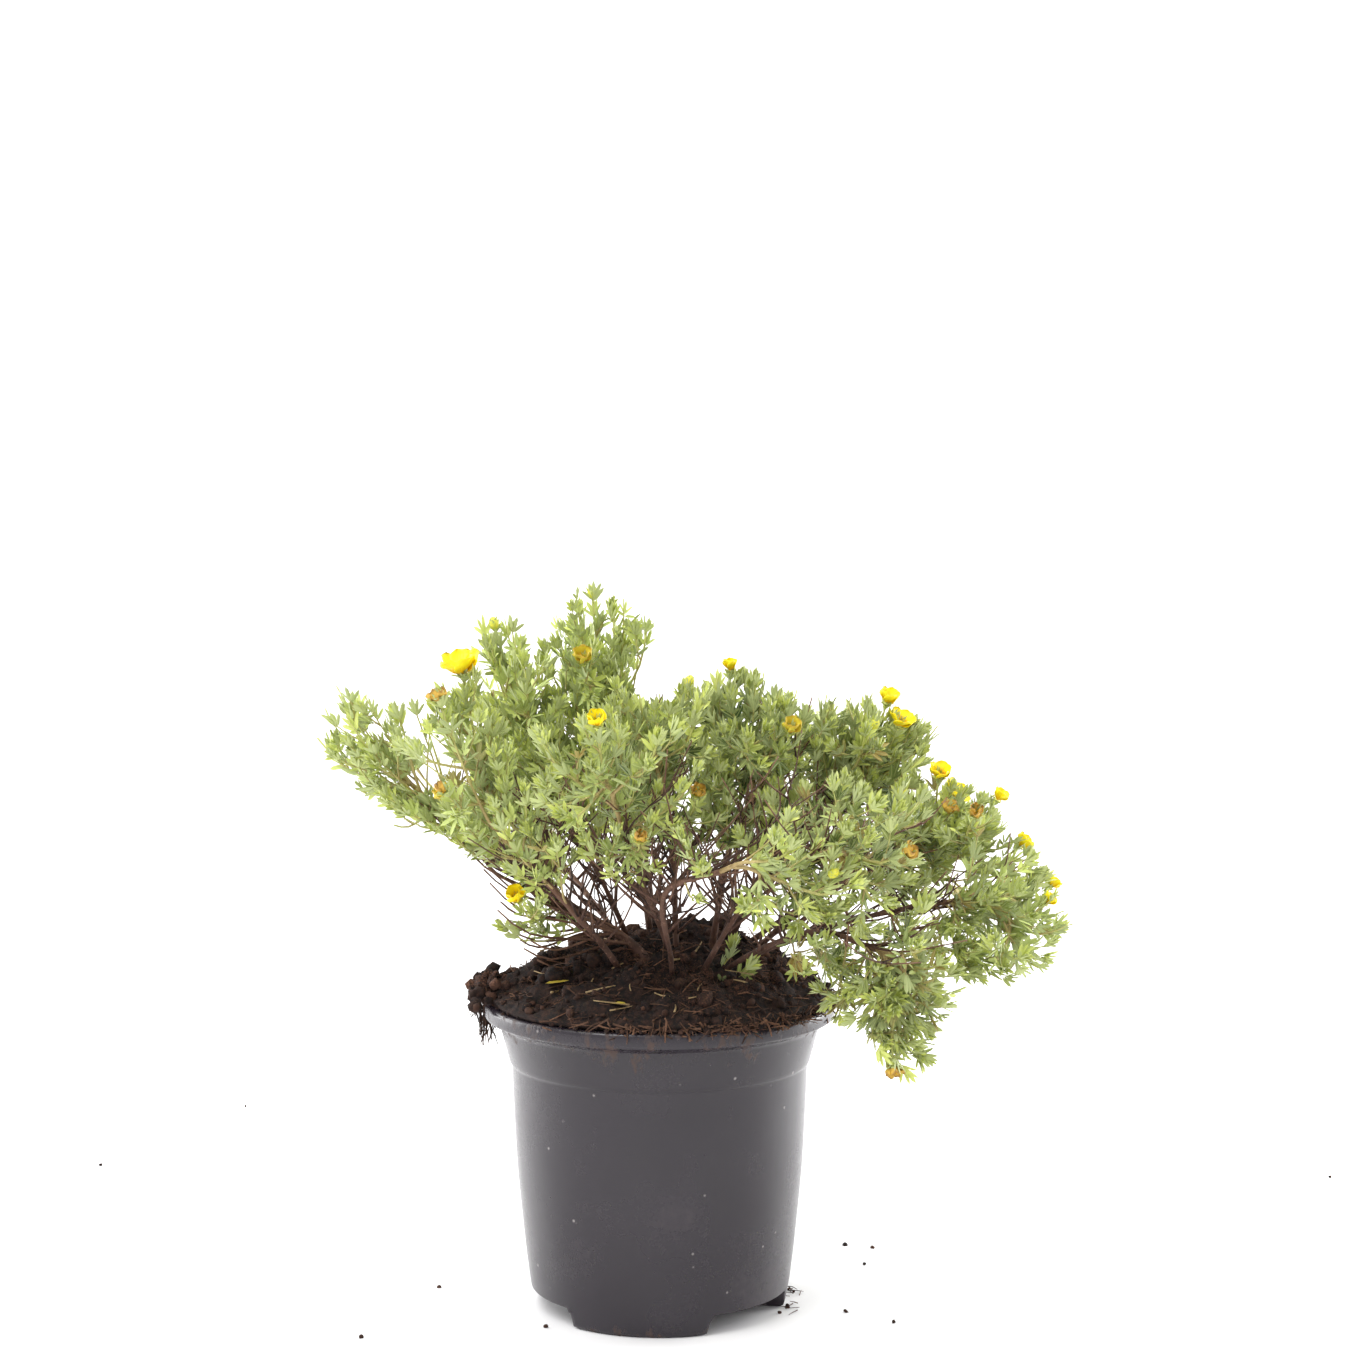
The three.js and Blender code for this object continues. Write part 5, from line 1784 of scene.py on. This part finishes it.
@dataclass
class FlowerParts:
    """Petals, sepals, stamens and hearts. Millimetres."""

    petal_count: int = 5
    stamen_count: int = 22
    petal_thickness: float = 0.22
    petal_lean_deg: float = 9.0
    petal_foot: float = 0.9
    sepal_widths: tuple[float, float] = (2.8, 1.5)
    narrow_sepal: float = 0.85  # its length, as a share of a broad one's

    def petal(self, growth: Growth, place: Matrix, length: float, width: float, cup: float, crumple: float,
              seed: float) -> None:
        """Shape one petal from a grid: a narrow claw that widens to a round blade.

        Args:
            growth: the mesh that it is added to.
            place: where the claw goes; the petal points along +X.
            length: in millimetres.
            width: in millimetres.
            cup: how far its rim rises, as a share of the length.
            crumple: the height of its creases, in millimetres.
            seed: moves the creases.
        """
        bm = growth.bm
        verts = bmesh.ops.create_grid(bm, x_segments=8, y_segments=6, size=1)["verts"]
        faces = list({face for vert in verts for face in vert.link_faces})
        for face in faces:
            face.smooth = True
            for loop in face.loops:
                loop[growth.blade].uv = ((loop.vert.co.y + 1) / 2, (loop.vert.co.x + 1) / 2)
        for vert in verts:
            along, across = (vert.co.x + 1) / 2, vert.co.y
            if along > 0.55:
                breadth = math.sqrt(max(0.16, 1 - ((along - 0.55) / 0.47) ** 2))
            else:
                breadth = 0.24 + 0.76 * smoothstep(-0.1, 0.6, along)
            notch = 0.05 * smoothstep(0.7, 1, along) * (1 - abs(across))
            x = length * (along - 0.1 * along * across * across - notch)
            y = width / 2 * breadth * across
            z = cup * length * (along * along * 0.6 + 0.5 * across * across * along)
            z += crumple * noise.noise(Vector((x * 0.35, y * 0.45, seed)))
            vert.co = metres((x, y, z))
        shell = bmesh.ops.solidify(bm, geom=faces, thickness=self.petal_thickness * MM)["geom"]
        skins = [item for item in shell if isinstance(item, bmesh.types.BMFace)]
        points = list({vert for skin in skins for vert in skin.verts} | set(verts))
        bmesh.ops.transform(bm, matrix=place, verts=points)
        growth.mark(points, 0.5, 0.2)

    def ring(
        self,
        growth: Growth,
        axis_place: Matrix,
        length: float,
        width: float,
        rise_deg: float,
        cup: float,
        crumple: float,
        seed: float,
    ) -> None:
        """Set the five petals round the flower's axis."""
        for i in range(self.petal_count):
            turn = Matrix.Rotation(2 * math.pi * i / self.petal_count + 0.3 * seed, 4, "Z")
            lift = Matrix.Rotation(-math.radians(rise_deg + 4 * (i % 2)), 4, "Y")
            # One edge lies over the next petal
            lean = Matrix.Rotation(math.radians(self.petal_lean_deg), 4, "X")
            out = Matrix.Translation((self.petal_foot * MM, 0, 0))
            self.petal(growth, axis_place @ turn @ lift @ out @ lean, length, width, cup, crumple, seed + i)

    def sepals(
        self,
        growth: Growth,
        axis_place: Matrix,
        leaves: LeafShapes,
        length: float,
        rise_deg: float,
    ) -> None:
        """Set five broad sepals and five narrow ones between them."""
        first = len(growth.bm.faces)
        for i in range(2 * self.petal_count):
            broad = i % 2 == 0
            turn = Matrix.Rotation(math.pi * i / self.petal_count + 0.6, 4, "Z")
            lift = Matrix.Rotation(-math.radians(rise_deg if broad else rise_deg - 9), 4, "Y")
            reach = length * (1 if broad else self.narrow_sepal)
            leaves.leaflet(growth, axis_place @ turn @ lift, reach, self.sepal_widths[i % 2], 0.3, -0.05)
        self.paint(growth, first, 2)

    @staticmethod
    def paint(growth: Growth, first: int, material: int) -> None:
        """Give the faces that were added since first a material."""
        growth.bm.faces.ensure_lookup_table()
        for face in growth.bm.faces[first:]:
            face.material_index = material
            face.smooth = True

    def cup(self, growth: Growth, axis_place: Matrix, height: float, width: float) -> None:
        """The green cup that joins the flower to its shoot."""
        first = len(growth.bm.faces)
        place = axis_place @ Matrix.Translation((0, 0, height / 2 * MM))
        bmesh.ops.create_cone(growth.bm, cap_ends=True, segments=10, radius1=0.6 * MM, radius2=width / 2 * MM,
                              depth=height * MM, matrix=place)
        self.paint(growth, first, 2)

    def heart(self, growth: Growth, axis_place: Matrix, draw: random.Random, size: float) -> None:
        """The domed heart with its ring of stamens."""
        first = len(growth.bm.faces)
        dome = axis_place @ Matrix.Diagonal((1.5 * size * MM, 1.5 * size * MM, 1.1 * size * MM, 1))
        bmesh.ops.create_icosphere(growth.bm, subdivisions=2, radius=1, matrix=dome)
        for i in range(self.stamen_count):
            turn = Matrix.Rotation(i * GOLDEN_TURN, 4, "Z")
            lean = Matrix.Rotation(math.radians(draw.uniform(12, 58)), 4, "Y")
            length = draw.uniform(2.2, 3.3) * size
            stalk = axis_place @ turn @ lean @ Matrix.Translation((0, 0, (0.8 + length / 2) * MM))
            bmesh.ops.create_cone(growth.bm, cap_ends=True, segments=3, radius1=0.13 * MM, radius2=0.09 * MM,
                                  depth=length * MM, matrix=stalk)
            head = axis_place @ turn @ lean @ Matrix.Translation((0, 0, (0.9 + length) * MM))
            head = head @ Matrix.Diagonal((0.34 * MM, 0.26 * MM, 0.46 * MM, 1))
            bmesh.ops.create_icosphere(growth.bm, subdivisions=1, radius=1, matrix=head)
        self.paint(growth, first, 1)


@dataclass
class Flower:
    """One flower at the end of a shoot. Millimetres."""

    bears: Bears
    number: int
    route: Route
    leaves: LeafShapes
    in_model: bool = True
    parts: FlowerParts = field(default_factory=FlowerParts)

    def axis(self) -> Matrix:
        """The place of the flower's foot, with +Z along its axis."""
        heading = self.route.heading(1)
        foot = self.route.at(1) + heading * 0.1 * MM
        return Matrix.LocRotScale(foot, heading.to_track_quat("Z", "Y"), None)

    def build(self) -> None:
        """Make the flower."""
        makers: dict[Bears, Callable[[Growth, Matrix, random.Random], Finish]] = {
            Bears.BLOOM: self.open_bloom,
            Bears.FADED: self.wilted_bloom,
            Bears.BUD: self.closed_bud,
        }
        names = {Bears.BLOOM: "open_bloom", Bears.FADED: "wilted_bloom", Bears.BUD: "closed_bud"}
        growth = Growth()
        draw = random.Random(f"flower {self.bears.value} {self.number}")
        petal = makers[self.bears](growth, self.axis(), draw)
        growth.outward()
        stands_for = (f"{self.bears.value}_{self.number:02d}",) if self.in_model else ()
        growth.show(f"{names[self.bears]}_{self.number:02d}", [petal, POLLEN, SilkyLeaf()], self.bears.value,
                    stands_for)

    def open_bloom(self, growth: Growth, axis: Matrix, draw: random.Random) -> Finish:
        """A fresh flower with round petals."""
        form = BLOOM_FORMS[self.number - 1]
        base = axis @ Matrix.Translation((0, 0, CALYX_HEIGHT * MM))
        self.parts.ring(growth, base, 9.6 * form.size, 9.8 * form.size, form.rise_deg, 0.22, 0.7,
                        10 * draw.random())
        self.parts.heart(growth, base @ Matrix.Translation((0, 0, 0.5 * MM)), draw, form.size)
        sepal_foot = axis @ Matrix.Translation((0, 0, 0.5 * CALYX_HEIGHT * MM))
        self.parts.sepals(growth, sepal_foot, self.leaves, 5.4 * form.size, 0.7 * form.rise_deg)
        self.parts.cup(growth, axis, CALYX_HEIGHT, 3.6)
        return Petal() if form.fresh else DULL_PETAL

    def wilted_bloom(self, growth: Growth, axis: Matrix, draw: random.Random) -> Finish:
        """A spent flower whose petals have shrunk and curled inwards."""
        base = axis @ Matrix.Translation((0, 0, 0.8 * CALYX_HEIGHT * MM))
        self.parts.ring(growth, base, 5.8, 4.6, draw.uniform(34, 66), 0.3, 2.6, 10 * draw.random())
        self.parts.heart(growth, base @ Matrix.Translation((0, 0, 0.5 * MM)), draw, 0.9)
        sepal_foot = axis @ Matrix.Translation((0, 0, 0.6 * CALYX_HEIGHT * MM))
        self.parts.sepals(growth, sepal_foot, self.leaves, 5.0, 34)
        self.parts.cup(growth, axis, CALYX_HEIGHT, 3.6)
        return WILTED_PETAL

    def closed_bud(self, growth: Growth, axis: Matrix, draw: random.Random) -> Finish:
        """A bud wrapped in its sepals, with the yellow petals just showing."""
        ball = axis @ Matrix.Translation((0, 0, 3.4 * MM))
        ball = ball @ Matrix.Diagonal((2.3 * MM, 2.3 * MM, 3.2 * MM, 1))
        made = bmesh.ops.create_uvsphere(growth.bm, u_segments=12, v_segments=8, radius=1, matrix=ball)
        for vert in made["verts"]:
            vert.co += Vector((1, 1, 1)) * 0.12 * MM * noise.noise(vert.co * 900)
        sepal_foot = axis @ Matrix.Translation((0, 0, 0.8 * MM))
        self.parts.sepals(growth, sepal_foot, self.leaves, 5.6, draw.uniform(60, 68))
        self.parts.cup(growth, axis, 1.6, 3.6)
        return BUD_SKIN


@dataclass
class FallenLeaves:
    """Yellow leaflets that have dropped on the soil. Millimetres and degrees."""

    leaves: LeafShapes
    length: float = 12.0
    width: float = 5.2
    spots: tuple[tuple[float, float, float], ...] = ((-48, -42, 20), (-20, -66, -35))

    def build(self) -> None:
        """Lay each leaflet on the soil."""
        for number, (x, y, turn_deg) in enumerate(self.spots, 1):
            growth = Growth()
            solid = f"fallen_leaf_{number:02d}"
            low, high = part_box(solid)
            turn = Matrix.Rotation(math.radians(turn_deg), 4, "Z")
            foot = Matrix.Translation(Vector((x * MM, y * MM, (low.z + high.z) / 2)))
            place = foot @ turn @ Matrix.Translation((-self.length / 2 * MM, 0, 0))
            self.leaves.leaflet(growth, place, self.length, self.width, 0.12, -0.06)
            growth.mark(list(growth.bm.verts), 0.5 + 0.4 * number / 2, 0.5)
            growth.show(f"yellow_leaf_{number:02d}", [FALLEN_LEAF], "fallen_leaf", (solid,))


# The studio


@dataclass
class Studio:
    """A pale floor, soft light and a camera at the photograph's angle. Metres and degrees."""

    sensor_mm: float = 36.0
    floor_half_width: float = 4.0
    wall_from: float = 1.6
    wall_radius: float = 1.5
    world_strength: float = 1.0
    key_watts: float = 22.0
    fill_watts: float = 18.0
    right_fill_watts: float = 27.0

    def build(self) -> None:
        """Make the floor, the light and the camera."""
        self.floor()
        self.light()
        self.camera()

    def floor(self) -> None:
        """A wide sheet that the pot stands on, swept up into a wall behind it."""
        bm = bmesh.new()
        bmesh.ops.create_grid(bm, x_segments=64, y_segments=64, size=self.floor_half_width)
        for vert in bm.verts:
            beyond = vert.co.y - self.wall_from
            if beyond > 0:
                angle = min(beyond / self.wall_radius, math.pi / 2)
                rest = max(0.0, beyond - self.wall_radius * math.pi / 2)
                vert.co.y = self.wall_from + self.wall_radius * math.sin(angle)
                vert.co.z = self.wall_radius * (1 - math.cos(angle)) + rest
        mesh = bpy.data.meshes.new("floor")
        bm.to_mesh(mesh)
        bm.free()
        for polygon in mesh.polygons:
            polygon.use_smooth = True
        mesh.materials.append(PALE_SWEEP.material())
        sheet = bpy.data.objects.new("floor", mesh)
        bpy.context.scene.collection.objects.link(sheet)

    @staticmethod
    def lamp(name: str, at: tuple[float, float, float], size: float, watts: float,
             aim: tuple[float, float, float] = (0.0, 0.0, 0.2)) -> None:
        """Hang an area lamp.

        Args:
            name: the lamp's name.
            at: where it hangs.
            size: its side.
            watts: its power.
            aim: what it looks at; the middle of the plant, where not said otherwise.
        """
        data = bpy.data.lights.new(name, "AREA")
        data.size = size
        data.energy = watts
        lamp = bpy.data.objects.new(name, data)
        lamp.location = at
        lamp.rotation_euler = (Vector(aim) - Vector(at)).to_track_quat("-Z", "Y").to_euler()
        bpy.context.scene.collection.objects.link(lamp)

    def light(self) -> None:
        """White surroundings, a large soft lamp above the front left, two fills, and one lamp on the wall."""
        scene = bpy.context.scene
        world = bpy.data.worlds.new("white_surroundings")
        world.use_nodes = True
        background = next(node for node in world.node_tree.nodes if node.type == "BACKGROUND")
        background.inputs["Color"].default_value = (1, 1, 1, 1)
        background.inputs["Strength"].default_value = self.world_strength
        scene.world = world
        scene.view_settings.view_transform = "Standard"
        self.lamp("key_lamp", (-0.9, -0.9, 1.7), 1.0, self.key_watts)
        self.lamp("left_fill", (-1.5, 0.8, 0.5), 1.0, self.fill_watts)
        self.lamp("right_fill", (1.5, 0.8, 0.5), 1.0, self.right_fill_watts)
        self.lamp("wall_lamp", (0.0, 0.6, 2.4), 2.0, 3 * self.key_watts, (0.0, 3.0, 0.6))

    def camera(self) -> None:
        """A camera with the photograph's angle and field of view."""
        data = bpy.data.cameras.new("camera")
        data.sensor_width = self.sensor_mm
        data.lens = FRONT.focal_px / PHOTO_SIDE * self.sensor_mm
        camera = bpy.data.objects.new("camera", data)
        camera.location = FRONT.camera_at
        camera.rotation_euler = (math.radians(90 - FRONT.pitch_deg), 0, 0)
        bpy.context.scene.collection.objects.link(camera)
        bpy.context.scene.camera = camera


def grow_flowers(leaves: LeafShapes) -> None:
    """Make the flowers of every branch, numbered as in the CAD model, and then those of the sprigs."""
    counts = dict.fromkeys(Bears, 0)
    planned = [pair for branch in BRANCHES for pair in zip(branch.shoots, Limbs(branch).shoots())]
    in_model = len(planned)
    planned += [(sprig, route) for branch in BRANCHES
                for (_, sprig), route in zip(branch.sprigs, Limbs(branch).sprigs())]
    for i, (shoot, route) in enumerate(planned):
        if shoot.bears is not Bears.LEAF:
            counts[shoot.bears] += 1
            Flower(shoot.bears, counts[shoot.bears], route, leaves, i < in_model).build()


def main() -> None:
    """Build the scene piece by piece."""
    logging.basicConfig(level=logging.INFO, format="%(message)s")
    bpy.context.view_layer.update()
    Studio().build()
    NurseryPot().build()
    PottingSoil().build()
    leaves = LeafShapes()
    leaves.build()
    for branch in BRANCHES:
        WoodyStem(branch).build()
        LeafySpray(branch, leaves).build()
    grow_flowers(leaves)
    FallenLeaves(leaves).build()


if __name__ == "__main__":
    main()
